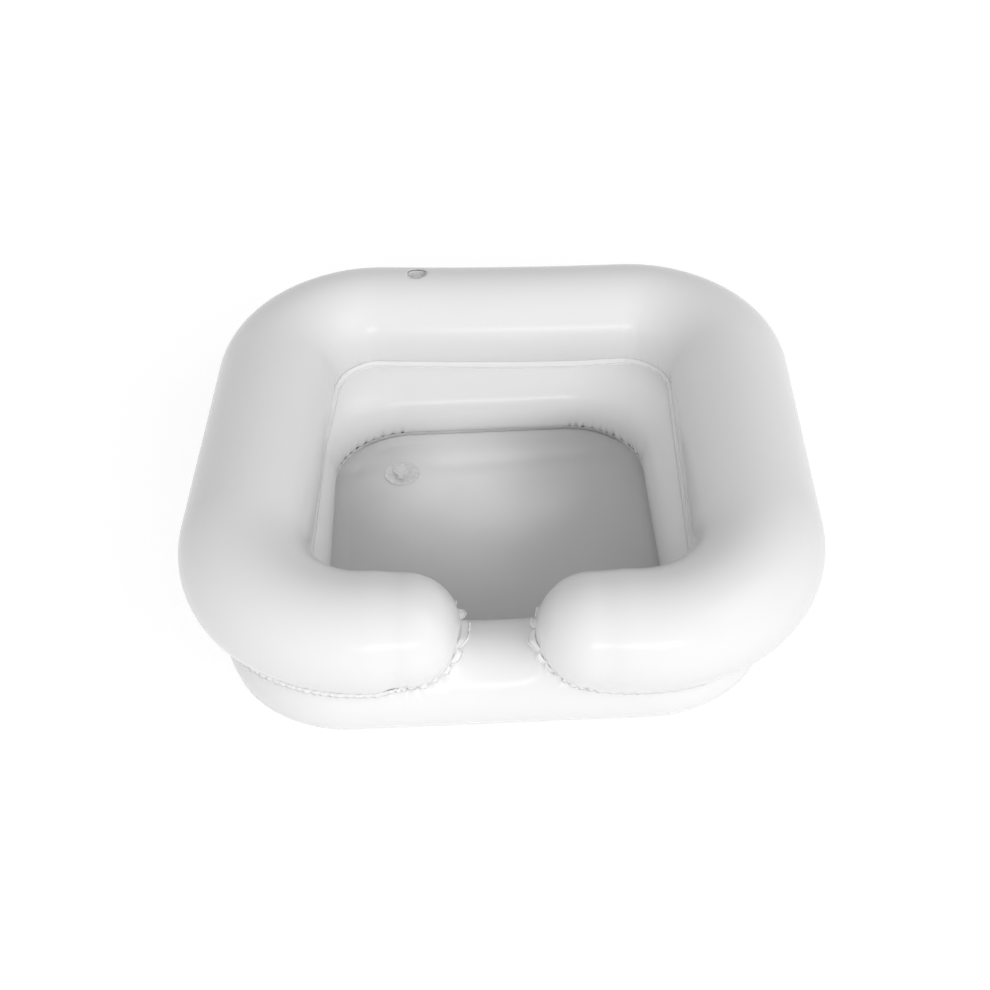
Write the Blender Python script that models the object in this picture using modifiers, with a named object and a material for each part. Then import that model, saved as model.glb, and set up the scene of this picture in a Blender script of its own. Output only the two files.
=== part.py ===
"""Portable inflatable shampoo basin, in metres, +Z up.

A lower ring chamber of vinyl film carries a C-shaped upper chamber whose two arms leave a gap for the neck.
A floor film closes the ring and holds the drain, and one push-in valve fills both chambers.
The origin is on the ground under the middle of the basin, and the neck gap faces -Y.
"""

import bmesh
import bpy
from math import ceil, cos, hypot, pi, radians, sin, sqrt
from mathutils import Matrix, Vector

# Vinyl film and its welds
FILM_THICKNESS = 0.0004
WELD_CLEARANCE = 0.0003

# Upper chamber: a tube with domed ends, thinner in the arms than at the sides
BASIN_WIDTH = 0.610
BASIN_DEPTH = 0.595
SIDE_TUBE_RADIUS = 0.062
BACK_TUBE_SHARE = 0.96
ARM_TUBE_SHARE = 0.887
UPPER_FRONT_CORNER_SHARE = 0.49
UPPER_BACK_CORNER_SHARE = 0.461
NECK_GAP_WIDTH = 0.058
BACK_BOW = 0.0045
UPPER_RISE_SHARE = 0.6

# Lower chamber: a closed ring inside the upper one's line, standing slightly askew under it
LOWER_TUBE_RADIUS = 0.0477
LOWER_INSET = 0.031
LOWER_FRONT_CORNER_SHARE = 0.354
LOWER_BACK_CORNER_SHARE = 0.592
LOWER_SHIFT_LEFT = 0.0107
LOWER_SHIFT_FORWARD = 0.0207
LOWER_TURN = radians(2.7)
GROUND_BAND_WIDTH = 0.022

# Floor of the bowl
FLOOR_HEIGHT_SHARE = 0.603
FLOOR_TUCK = 0.003

# Air ports in the partition between the chambers
AIR_PORT_RADIUS = 0.005
AIR_PORT_PLACE_SHARES = (0.16, 0.38, 0.62, 0.84)

# Air valve, on top of the back of the upper chamber
VALVE_ASIDE_SHARE = 0.389
VALVE_LEAN = radians(82.5)
VALVE_WELL_RADIUS = 0.0102
VALVE_WELL_DEPTH = 0.008
VALVE_WELL_TAPER = 0.0012
VALVE_HOLE_MARGIN = 0.0005
VALVE_FLANGE_WIDTH = 0.0068
VALVE_FLANGE_THICKNESS = 0.0009
VALVE_WEB_THICKNESS = 0.0004
VALVE_COLLAR_WIDTH = 0.0014
VALVE_COLLAR_THICKNESS = 0.001
VALVE_STEM_RADIUS = 0.0042
VALVE_BORE_RADIUS = 0.0028
VALVE_NECK_HEIGHT = 0.0025
VALVE_STEM_LENGTH = 0.0145
VALVE_CAP_RADIUS = 0.0046
VALVE_CAP_THICKNESS = 0.0012
VALVE_PLUG_LENGTH = 0.003
VALVE_PLUG_TAPER = 0.0006
VALVE_HINGE_REACH = 0.0052
VALVE_STRAP_LOOP_RADIUS = 0.001
VALVE_STRAP_WIDTH = 0.003
VALVE_STRAP_THICKNESS = 0.0006
VALVE_FLAP_RADIUS = 0.0036
VALVE_FLAP_THICKNESS = 0.0006

# Drain, at the back left of the floor
DRAIN_ASIDE_SHARE = 0.519
DRAIN_BEHIND_SHARE = 0.325
DRAIN_FLANGE_RADIUS = 0.019
DRAIN_FLANGE_THICKNESS = 0.001
DRAIN_RIM_RADIUS = 0.0075
DRAIN_RIM_HEIGHT = 0.0035
DRAIN_BORE_RADIUS = 0.0048
DRAIN_OUTLET_RADIUS = 0.0066
DRAIN_OUTLET_LENGTH = 0.015
DRAIN_BARB_HEIGHT = 0.0007
DRAIN_BARB_LENGTH = 0.003
DRAIN_CAP_RADIUS = 0.0085
DRAIN_CAP_THICKNESS = 0.0018
DRAIN_PLUG_LENGTH = 0.004
DRAIN_PLUG_TAPER = 0.0009
DRAIN_TAB_REACH = 0.0045
DRAIN_TAB_WIDTH = 0.006
DRAIN_TAB_THICKNESS = 0.0012
DRAIN_HINGE_REACH = 0.0105
DRAIN_STRAP_LOOP_RADIUS = 0.0012
DRAIN_STRAP_WIDTH = 0.005
DRAIN_STRAP_THICKNESS = 0.001

# Fits and edges of the moulded pieces
FIT_CLEARANCE = 0.0003
EDGE_ROUNDING = 0.00025
CUT_OVERRUN = 0.010

# Steps round the shapes
TUBE_SIDES = 20
CORNER_STEPS = 8
STRAIGHT_STEP = 0.09
NECK_STEP = 0.020
DOME_STEPS = 6
DOME_END = radians(83)
TURNING_STEPS = 24
STRAP_STEPS = 6
SHARP_ANGLE = radians(32)
PARTITION_REACH_SHARE = 0.955

# What follows from the sizes above
HALF_TURN = pi
QUARTER_TURN = pi / 2
BACK_TUBE_RADIUS = SIDE_TUBE_RADIUS * BACK_TUBE_SHARE
ARM_TUBE_RADIUS = SIDE_TUBE_RADIUS * ARM_TUBE_SHARE
UPPER_HALF_WIDTH = BASIN_WIDTH / 2 - SIDE_TUBE_RADIUS
UPPER_BACK = BASIN_DEPTH / 2 - BACK_TUBE_RADIUS
UPPER_FRONT = ARM_TUBE_RADIUS - BASIN_DEPTH / 2
UPPER_FRONT_CORNER_RADIUS = UPPER_HALF_WIDTH * UPPER_FRONT_CORNER_SHARE
UPPER_BACK_CORNER_RADIUS = UPPER_HALF_WIDTH * UPPER_BACK_CORNER_SHARE
ARM_END = NECK_GAP_WIDTH / 2 + ARM_TUBE_RADIUS
LOWER_HALF_WIDTH = UPPER_HALF_WIDTH - LOWER_INSET
LOWER_HALF_DEPTH = (UPPER_BACK - UPPER_FRONT) / 2 - LOWER_INSET
LOWER_FRONT_CORNER_RADIUS = LOWER_HALF_WIDTH * LOWER_FRONT_CORNER_SHARE
LOWER_BACK_CORNER_RADIUS = LOWER_HALF_WIDTH * LOWER_BACK_CORNER_SHARE
LOWER_CENTRE_Y = (UPPER_BACK + UPPER_FRONT) / 2 - LOWER_SHIFT_FORWARD
LOWER_HEIGHT = sqrt(LOWER_TUBE_RADIUS**2 - (GROUND_BAND_WIDTH / 2) ** 2)
UPPER_HEIGHT = LOWER_HEIGHT + UPPER_RISE_SHARE * (LOWER_TUBE_RADIUS + SIDE_TUBE_RADIUS)
FLOOR_HEIGHT = LOWER_HEIGHT * FLOOR_HEIGHT_SHARE
FACET_DEPTH_SHARE = cos(pi / TUBE_SIDES)
VALVE_FROM_MIDDLE = UPPER_HALF_WIDTH * VALVE_ASIDE_SHARE
VALVE_RIM_HEIGHT = VALVE_NECK_HEIGHT - VALVE_WELL_DEPTH
VALVE_FOOT_HEIGHT = VALVE_RIM_HEIGHT - VALVE_STEM_LENGTH
DRAIN_FROM_MIDDLE = LOWER_HALF_WIDTH * DRAIN_ASIDE_SHARE
DRAIN_BEHIND_MIDDLE = LOWER_HALF_DEPTH * DRAIN_BEHIND_SHARE
DRAIN_RIM_TOP = FIT_CLEARANCE + DRAIN_RIM_HEIGHT


def clear_scene():
    for thing in list(bpy.data.objects):
        bpy.data.objects.remove(thing)


def new_collection(name):
    collection = bpy.data.collections.new(name)
    bpy.context.scene.collection.children.link(collection)
    return collection


def material(name, colour, roughness):
    """A plastic of the given colour; the fourth number of the colour is its opacity."""
    made = bpy.data.materials.new(name)
    made.use_nodes = True
    shader = made.node_tree.nodes["Principled BSDF"]
    shader.inputs["Base Color"].default_value = colour
    shader.inputs["Roughness"].default_value = roughness
    shader.inputs["Metallic"].default_value = 0.0
    shader.inputs["Alpha"].default_value = colour[3]
    return made


def add_object(name, data, collection, surface=None):
    made = bpy.data.objects.new(name, data)
    collection.objects.link(made)
    if surface:
        data.materials.append(surface)
    return made


def mesh_from_bmesh(name, shape):
    mesh = bpy.data.meshes.new(name)
    shape.to_mesh(mesh)
    shape.free()
    return mesh


def evaluated_mesh(source):
    """The mesh of an object with its modifiers applied, its loose caps welded on."""
    bpy.context.view_layer.update()
    graph = bpy.context.evaluated_depsgraph_get()
    mesh = bpy.data.meshes.new_from_object(source.evaluated_get(graph))
    shape = bmesh.new()
    shape.from_mesh(mesh)
    bmesh.ops.remove_doubles(shape, verts=shape.verts, dist=FILM_THICKNESS / 100)
    bmesh.ops.recalc_face_normals(shape, faces=shape.faces)
    shape.to_mesh(mesh)
    shape.free()
    return mesh


def smooth(mesh, angle):
    mesh.shade_smooth()
    mesh.set_sharp_from_angle(angle=angle)


def thicken(piece, thickness):
    """Gives an open or closed surface a wall on its inner side."""
    wall = piece.modifiers.new("wall", "SOLIDIFY")
    wall.thickness = thickness
    wall.offset = -1
    wall.use_even_offset = True
    wall.use_quality_normals = True


def cut(piece, cutter):
    cutter.hide_render = True
    cutter.display_type = "WIRE"
    boolean = piece.modifiers.new("cut by " + cutter.name, "BOOLEAN")
    boolean.operation = "DIFFERENCE"
    boolean.object = cutter
    boolean.solver = "EXACT"


def join(piece, addition):
    addition.hide_render = True
    addition.display_type = "WIRE"
    boolean = piece.modifiers.new("joined with " + addition.name, "BOOLEAN")
    boolean.operation = "UNION"
    boolean.object = addition
    boolean.solver = "EXACT"


def rod(name, radius, length, place, collection):
    """A cylinder centred on its place and lying along its Z axis, used as a cutter."""
    shape = bmesh.new()
    bmesh.ops.create_cone(
        shape, cap_ends=True, segments=TURNING_STEPS, radius1=radius, radius2=radius, depth=length
    )
    cutter = add_object(name, mesh_from_bmesh(name, shape), collection)
    cutter.matrix_basis = place
    return cutter


def straight(start, end, facing, longest_step=STRAIGHT_STEP):
    """Places along a straight run, its end left out: (x, y, outward direction)."""
    length = hypot(end[0] - start[0], end[1] - start[1])
    steps = max(1, ceil(length / longest_step))
    run = []
    for step in range(steps):
        along = step / steps
        x = start[0] + (end[0] - start[0]) * along
        y = start[1] + (end[1] - start[1]) * along
        run.append((x, y, facing))
    return run


def corner(centre, radius, facing):
    """Places round a quarter turn that starts with the given outward direction, its end left out."""
    run = []
    for step in range(CORNER_STEPS):
        angle = facing + QUARTER_TURN * step / CORNER_STEPS
        x = centre[0] + radius * cos(angle)
        y = centre[1] + radius * sin(angle)
        run.append((x, y, angle))
    return run


def half_outline(start_x, half_width, front, back, front_radius, back_radius, front_step=STRAIGHT_STEP):
    """The right half of a rounded rectangle, from (start_x, front) nearly to the middle of the back."""
    run = straight((start_x, front), (half_width - front_radius, front), -QUARTER_TURN, front_step)
    run += corner((half_width - front_radius, front + front_radius), front_radius, -QUARTER_TURN)
    run += straight((half_width, front + front_radius), (half_width, back - back_radius), 0)
    run += corner((half_width - back_radius, back - back_radius), back_radius, 0)
    run += straight((half_width - back_radius, back), (0, back), QUARTER_TURN)
    return run


def mirrored(run):
    """The left half of an outline whose right half is given, walked back from the middle of the back."""
    return [(-x, y, HALF_TURN - angle) for x, y, angle in reversed(run)]


def upper_radius(facing):
    """Radius of the upper tube where it faces outwards in the given direction."""
    end_radius = BACK_TUBE_RADIUS if sin(facing) > 0 else ARM_TUBE_RADIUS
    return SIDE_TUBE_RADIUS * cos(facing) ** 2 + end_radius * sin(facing) ** 2


def back_bow(x, facing):
    """How far the middle of the back leans inwards."""
    if sin(facing) <= 0:
        return 0
    reach = UPPER_HALF_WIDTH - UPPER_BACK_CORNER_RADIUS * cos(QUARTER_TURN / 2)
    return BACK_BOW * max(0, 1 - (x / reach) ** 2)


def upper_centreline():
    """Points along the upper tube with its radius at each, from the right arm's end to the left one's."""
    half = half_outline(
        ARM_END,
        UPPER_HALF_WIDTH,
        UPPER_FRONT,
        UPPER_BACK,
        UPPER_FRONT_CORNER_RADIUS,
        UPPER_BACK_CORNER_RADIUS,
    )
    whole = half + [(0, UPPER_BACK, QUARTER_TURN)] + mirrored(half)
    line = []
    for x, y, facing in whole:
        point = Vector((x, y - back_bow(x, facing), UPPER_HEIGHT))
        line.append((point, upper_radius(facing)))
    return line


def domed(line):
    """The upper tube's points with a round dome added at both ends."""
    angles = [DOME_END * (step + 1) / DOME_STEPS for step in range(DOME_STEPS)]
    towards_gap = Vector((-ARM_TUBE_RADIUS, 0, 0))
    right = [(line[0][0] + towards_gap * sin(a), ARM_TUBE_RADIUS * cos(a)) for a in reversed(angles)]
    left = [(line[-1][0] - towards_gap * sin(a), ARM_TUBE_RADIUS * cos(a)) for a in angles]
    return right + line + left


def lower_outline(inset):
    """Points round the lower ring, drawn in by inset from the middle of its tube, at the tube's height."""
    half = half_outline(
        0,
        LOWER_HALF_WIDTH - inset,
        inset - LOWER_HALF_DEPTH,
        LOWER_HALF_DEPTH - inset,
        LOWER_FRONT_CORNER_RADIUS - inset,
        LOWER_BACK_CORNER_RADIUS - inset,
        NECK_STEP,
    )
    whole = half + [(0, LOWER_HALF_DEPTH - inset, QUARTER_TURN)] + mirrored(half)[:-1]
    place = Matrix.Translation((-LOWER_SHIFT_LEFT, LOWER_CENTRE_Y, LOWER_HEIGHT))
    place = place @ Matrix.Rotation(LOWER_TURN, 4, "Z")
    return [place @ Vector((x, y, 0)) for x, y, facing in whole]


def tube_mesh(name, points, radii, cyclic):
    """A tube along the points, closed on itself or capped."""
    curve = bpy.data.curves.new(name, "CURVE")
    curve.dimensions = "3D"
    curve.twist_mode = "Z_UP"
    curve.bevel_depth = LOWER_TUBE_RADIUS
    curve.bevel_resolution = TUBE_SIDES // 2 - 2
    curve.use_fill_caps = not cyclic
    spline = curve.splines.new("POLY")
    spline.points.add(len(points) - 1)
    spline.use_cyclic_u = cyclic
    for knot, point, radius in zip(spline.points, points, radii):
        knot.co = (*point, 1)
        knot.radius = radius / LOWER_TUBE_RADIUS
    guide = add_object(name, curve, bpy.context.scene.collection)
    mesh = evaluated_mesh(guide)
    bpy.data.objects.remove(guide)
    return mesh


def nearest_on_line(point, line, cyclic):
    """The nearest point of a line of (point, radius) pairs, with the radius there."""
    best = None
    for index in range(len(line) - (0 if cyclic else 1)):
        start, start_radius = line[index]
        end, end_radius = line[(index + 1) % len(line)]
        run = end - start
        along = min(1, max(0, (point - start).dot(run) / run.length_squared))
        found = start + run * along
        if best is None or (found - point).length < best[0]:
            best = ((found - point).length, found, start_radius + (end_radius - start_radius) * along)
    return best[1], best[2]


def weld_plane(middle, upper_line):
    """Where the two tubes meet beside a point of the lower one: the way up to the upper tube, and the height
    of the flat partition along it. The height is the lower radius where they don't meet."""
    above, above_radius = nearest_on_line(middle, upper_line, False)
    way = above - middle
    apart = way.length
    height = (LOWER_TUBE_RADIUS**2 - above_radius**2 + apart**2) / (2 * apart)
    return way / apart, min(height, LOWER_TUBE_RADIUS)


def cut_level(shape, height, keep_above=False, keep_below=False):
    """Cuts a surface at a height and drops the part that isn't kept."""
    bmesh.ops.bisect_plane(
        shape,
        geom=shape.verts[:] + shape.edges[:] + shape.faces[:],
        dist=FILM_THICKNESS / 100,
        plane_co=(0, 0, height),
        plane_no=(0, 0, 1),
        clear_outer=keep_below,
        clear_inner=keep_above,
    )


def lower_tube(name, radius, collection):
    middle = lower_outline(0)
    return add_object(name, tube_mesh(name, middle, [radius] * len(middle), True), collection)


def upper_tube(name, line, collection):
    whole = domed(line)
    mesh = tube_mesh(name, [point for point, radius in whole], [radius for point, radius in whole], False)
    return add_object(name, mesh, collection)


def make_upper_chamber_film(line, parts, cutters, surface):
    """The upper tube's film, open underneath where it is welded to the lower chamber."""
    film = upper_tube("upper_chamber_film", line, parts)
    film.data.materials.append(surface)
    thicken(film, FILM_THICKNESS)
    cut(film, lower_tube("lower_tube_cutter", LOWER_TUBE_RADIUS + WELD_CLEARANCE, cutters))
    return film


def make_lower_chamber_film(line, parts, cutters, surface):
    """The lower ring's film from floor weld over the top to base weld, flat under the upper chamber."""
    ring = [(point, LOWER_TUBE_RADIUS) for point in lower_outline(0)]
    whole = lower_tube("whole_lower_tube", LOWER_TUBE_RADIUS, cutters)
    cut(whole, upper_tube("upper_tube_cutter", line, cutters))
    mesh = evaluated_mesh(whole)
    whole.hide_render = True
    whole.display_type = "WIRE"
    shape = bmesh.new()
    shape.from_mesh(mesh)
    for vertex in shape.verts:
        centre, radius = nearest_on_line(vertex.co, ring, True)
        if (vertex.co - centre).length < LOWER_TUBE_RADIUS * PARTITION_REACH_SHARE:
            way, height = weld_plane(centre, line)
            vertex.co += way * (height - (vertex.co - centre).dot(way))
    cut_level(shape, FLOOR_HEIGHT + WELD_CLEARANCE, keep_above=True)
    shape.to_mesh(mesh)
    shape.free()
    film = add_object("lower_chamber_film", mesh, parts, surface)
    thicken(film, FILM_THICKNESS)
    for number, share in enumerate(AIR_PORT_PLACE_SHARES):
        above = line[round(share * (len(line) - 1))][0]
        centre, radius = nearest_on_line(above, ring, True)
        way, height = weld_plane(centre, line)
        place = Matrix.Translation(centre + way * height) @ way.to_track_quat("Z", "Y").to_matrix().to_4x4()
        cut(film, rod(f"air_port_cutter_{number + 1}", AIR_PORT_RADIUS, CUT_OVERRUN, place, cutters))
    return film


def make_base_film(parts, surface):
    """The film under the lower ring, flat on the ground, from the base weld to just under the floor."""
    ring = [(point, LOWER_TUBE_RADIUS) for point in lower_outline(0)]
    bowl_middle = sum((point for point, radius in ring), Vector()) / len(ring)
    edge_rise = FILM_THICKNESS * (LOWER_HEIGHT - FLOOR_HEIGHT) / LOWER_TUBE_RADIUS
    inner_top = FLOOR_HEIGHT - FILM_THICKNESS - WELD_CLEARANCE - edge_rise
    film = lower_tube("base_film", LOWER_TUBE_RADIUS, parts)
    film.data.materials.append(surface)
    shape = bmesh.new()
    shape.from_mesh(film.data)
    cut_level(shape, FLOOR_HEIGHT, keep_below=True)
    cut_level(shape, inner_top)
    cut_level(shape, 0)
    inside = []
    for face in shape.faces:
        centre = face.calc_center_median()
        beside, radius = nearest_on_line(centre, ring, True)
        if centre.z > inner_top and (centre - bowl_middle).xy.length < (beside - bowl_middle).xy.length:
            inside.append(face)
    bmesh.ops.delete(shape, geom=inside, context="FACES")
    for vertex in shape.verts:
        vertex.co.z = max(0, vertex.co.z)
    shape.to_mesh(film.data)
    shape.free()
    thicken(film, FILM_THICKNESS)
    return film


def make_floor_film(parts, surface):
    """The flat floor sheet, tucked between the ring film and the base film, with a hole for the drain."""
    weld_reach = sqrt(LOWER_TUBE_RADIUS**2 - (LOWER_HEIGHT - FLOOR_HEIGHT) ** 2)
    hole_radius = DRAIN_OUTLET_RADIUS + DRAIN_BARB_HEIGHT + FIT_CLEARANCE
    curve = bpy.data.curves.new("floor_film", "CURVE")
    curve.dimensions = "2D"
    curve.fill_mode = "BOTH"
    curve.extrude = FILM_THICKNESS / 2
    edge = curve.splines.new("POLY")
    outline = lower_outline(weld_reach - FLOOR_TUCK)
    edge.points.add(len(outline) - 1)
    edge.use_cyclic_u = True
    for knot, point in zip(edge.points, outline):
        knot.co = (point.x, point.y, 0, 1)
    hole = curve.splines.new("POLY")
    hole.points.add(TURNING_STEPS - 1)
    hole.use_cyclic_u = True
    for step, knot in enumerate(hole.points):
        angle = 2 * pi * step / TURNING_STEPS
        x = hole_radius * cos(angle) - DRAIN_FROM_MIDDLE
        y = hole_radius * sin(angle) + DRAIN_BEHIND_MIDDLE
        knot.co = (x, y, 0, 1)
    guide = add_object("floor_guide", curve, bpy.context.scene.collection)
    mesh = evaluated_mesh(guide)
    bpy.data.objects.remove(guide)
    film = add_object("floor_film", mesh, parts, surface)
    film.location = (0, 0, FLOOR_HEIGHT - FILM_THICKNESS / 2)
    return film


def turned(name, profile, closed, parts, surface):
    """A turned piece from a profile of (radius, height) that runs down its outer side."""
    shape = bmesh.new()
    knots = [shape.verts.new((radius, 0, height)) for radius, height in profile]
    for start, end in zip(knots, knots[1:]):
        shape.edges.new((start, end))
    if closed:
        shape.edges.new((knots[-1], knots[0]))
    piece = add_object(name, mesh_from_bmesh(name, shape), parts, surface)
    screw = piece.modifiers.new("turn", "SCREW")
    screw.axis = "Z"
    screw.steps = TURNING_STEPS
    screw.render_steps = TURNING_STEPS
    screw.use_merge_vertices = True
    screw.merge_threshold = FILM_THICKNESS / 100
    return piece


def round_edges(piece):
    bevel = piece.modifiers.new("rounded edges", "BEVEL")
    bevel.width = EDGE_ROUNDING
    bevel.segments = 1
    bevel.limit_method = "ANGLE"
    bevel.angle_limit = SHARP_ANGLE


def strap(name, hinge_reach, hinge_height, lower_end, upper_end, loop_radius, width, parts, surface):
    """A flat strap that loops round a hinge line, from one piece's side below it to the other's above it."""
    path = [(lower_end, hinge_height - loop_radius)]
    for step in range(STRAP_STEPS + 1):
        angle = HALF_TURN * step / STRAP_STEPS - QUARTER_TURN
        path.append((hinge_reach + loop_radius * cos(angle), hinge_height + loop_radius * sin(angle)))
    path.append((upper_end, hinge_height + loop_radius))
    shape = bmesh.new()
    rows = []
    for x, z in path:
        rows.append((shape.verts.new((x, -width / 2, z)), shape.verts.new((x, width / 2, z))))
    for start, end in zip(rows, rows[1:]):
        shape.faces.new((start[0], end[0], end[1], start[1]))
    return add_object(name, mesh_from_bmesh(name, shape), parts, surface)


def bend_under_film(piece, full_above, none_below):
    """Bends a turned piece of the valve to the film's inner side, less and less towards its lower end."""
    radius = BACK_TUBE_RADIUS * FACET_DEPTH_SHARE - FILM_THICKNESS - WELD_CLEARANCE
    mesh = evaluated_mesh(piece)
    piece.modifiers.clear()
    for vertex in mesh.vertices:
        share = min(1, max(0, (vertex.co.z - none_below) / (full_above - none_below)))
        vertex.co.z -= share * (radius - sqrt(radius**2 - vertex.co.y**2))
    piece.data = mesh
    return piece


def empty(name, collection, parent=None, place=None):
    """A bare frame that pieces hang on."""
    made = bpy.data.objects.new(name, None)
    made.empty_display_size = VALVE_WELL_RADIUS
    collection.objects.link(made)
    made.parent = parent
    made.matrix_basis = place if place else Matrix.Identity(4)
    return made


def hang(piece, pivot):
    """Hangs a piece drawn in its fitting's frame on a pivot of that fitting, where it stands."""
    piece.parent = pivot
    piece.location = -pivot.location


def valve_place(line):
    """The frame of the valve on the film's outside: Z points out of the film, X along the back."""
    for (start, start_radius), (end, end_radius) in zip(line, line[1:]):
        if start.y > 0 and start.x > -VALVE_FROM_MIDDLE >= end.x:
            centre = start.lerp(end, (start.x + VALVE_FROM_MIDDLE) / (start.x - end.x))
            along = (end - start).normalized()
    outward = along.cross(Vector((0, 0, 1)))
    upward = outward.cross(along)
    axis = outward * cos(VALVE_LEAN) + upward * sin(VALVE_LEAN)
    origin = centre + axis * BACK_TUBE_RADIUS * FACET_DEPTH_SHARE
    place = Matrix((-along, axis.cross(-along), axis)).transposed().to_4x4()
    place.translation = origin
    return place


def make_valve(line, upper_film, parts, cutters, clear, soft):
    """The push-in valve: a flange under the film, a soft well, a stem with its cap, and a non-return flap."""
    place = valve_place(line)
    frame = empty("valve_frame", parts, place=place)
    hole_radius = VALVE_WELL_RADIUS + VALVE_HOLE_MARGIN
    cut(upper_film, rod("valve_hole_cutter", hole_radius, CUT_OVERRUN, place, cutters))

    flange_top = -FILM_THICKNESS - WELD_CLEARANCE
    flange_foot = flange_top - VALVE_FLANGE_THICKNESS
    flange_radius = VALVE_WELL_RADIUS + VALVE_FLANGE_WIDTH
    profile = [
        (VALVE_WELL_RADIUS, flange_top),
        (flange_radius, flange_top),
        (flange_radius, flange_foot),
        (VALVE_WELL_RADIUS, flange_foot),
    ]
    flange = turned("valve_flange", profile, True, parts, clear)
    bend_under_film(flange, flange_foot, flange_foot - VALVE_FLANGE_THICKNESS)
    flange.parent = frame

    web_radius = VALVE_WELL_RADIUS - FIT_CLEARANCE
    web_foot = -VALVE_WELL_DEPTH - VALVE_WEB_THICKNESS / 2
    collar_radius = VALVE_STEM_RADIUS + VALVE_COLLAR_WIDTH
    profile = [
        (web_radius, flange_top),
        (web_radius, flange_foot),
        (web_radius - VALVE_WELL_TAPER, web_foot),
        (collar_radius + FIT_CLEARANCE, web_foot),
    ]
    web = turned("valve_web", profile, False, parts, soft)
    thicken(web, VALVE_WEB_THICKNESS)
    bend_under_film(web, flange_foot, web_foot)
    web.parent = frame

    slide = empty("valve_stem_slide", parts, frame)
    collar_top = -VALVE_WELL_DEPTH + VALVE_COLLAR_THICKNESS / 2
    profile = [
        (VALVE_STEM_RADIUS, VALVE_RIM_HEIGHT),
        (VALVE_STEM_RADIUS, collar_top),
        (collar_radius, collar_top),
        (collar_radius, collar_top - VALVE_COLLAR_THICKNESS),
        (VALVE_STEM_RADIUS, collar_top - VALVE_COLLAR_THICKNESS),
        (VALVE_STEM_RADIUS, VALVE_FOOT_HEIGHT),
        (VALVE_BORE_RADIUS, VALVE_FOOT_HEIGHT),
        (VALVE_BORE_RADIUS, VALVE_RIM_HEIGHT),
    ]
    stem = turned("valve_stem", profile, True, parts, clear)
    round_edges(stem)
    hang(stem, slide)

    cap_hinge = empty(
        "valve_cap_hinge", parts, frame, Matrix.Translation((VALVE_HINGE_REACH, 0, VALVE_RIM_HEIGHT))
    )
    cap_foot = VALVE_RIM_HEIGHT + FIT_CLEARANCE
    plug_radius = VALVE_BORE_RADIUS - FIT_CLEARANCE
    profile = [
        (0, cap_foot + VALVE_CAP_THICKNESS),
        (VALVE_CAP_RADIUS, cap_foot + VALVE_CAP_THICKNESS),
        (VALVE_CAP_RADIUS, cap_foot),
        (plug_radius, cap_foot),
        (plug_radius - VALVE_PLUG_TAPER, cap_foot - VALVE_PLUG_LENGTH),
        (0, cap_foot - VALVE_PLUG_LENGTH),
    ]
    cap = turned("valve_cap", profile, False, parts, clear)
    round_edges(cap)
    hang(cap, cap_hinge)

    cap_strap = strap(
        "valve_cap_strap",
        VALVE_HINGE_REACH,
        VALVE_RIM_HEIGHT,
        VALVE_STEM_RADIUS + FIT_CLEARANCE,
        VALVE_CAP_RADIUS + FIT_CLEARANCE,
        VALVE_STRAP_LOOP_RADIUS,
        VALVE_STRAP_WIDTH,
        parts,
        soft,
    )
    thicken(cap_strap, VALVE_STRAP_THICKNESS)
    cap_strap.modifiers["wall"].offset = 0
    hang(cap_strap, slide)

    flap_top = VALVE_FOOT_HEIGHT - FIT_CLEARANCE
    flap_hinge = empty("valve_flap_hinge", parts, frame, Matrix.Translation((VALVE_FLAP_RADIUS, 0, flap_top)))
    profile = [
        (0, flap_top),
        (VALVE_FLAP_RADIUS, flap_top),
        (VALVE_FLAP_RADIUS, flap_top - VALVE_FLAP_THICKNESS),
        (0, flap_top - VALVE_FLAP_THICKNESS),
    ]
    flap = turned("valve_flap", profile, False, parts, soft)
    hang(flap, flap_hinge)


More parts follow.
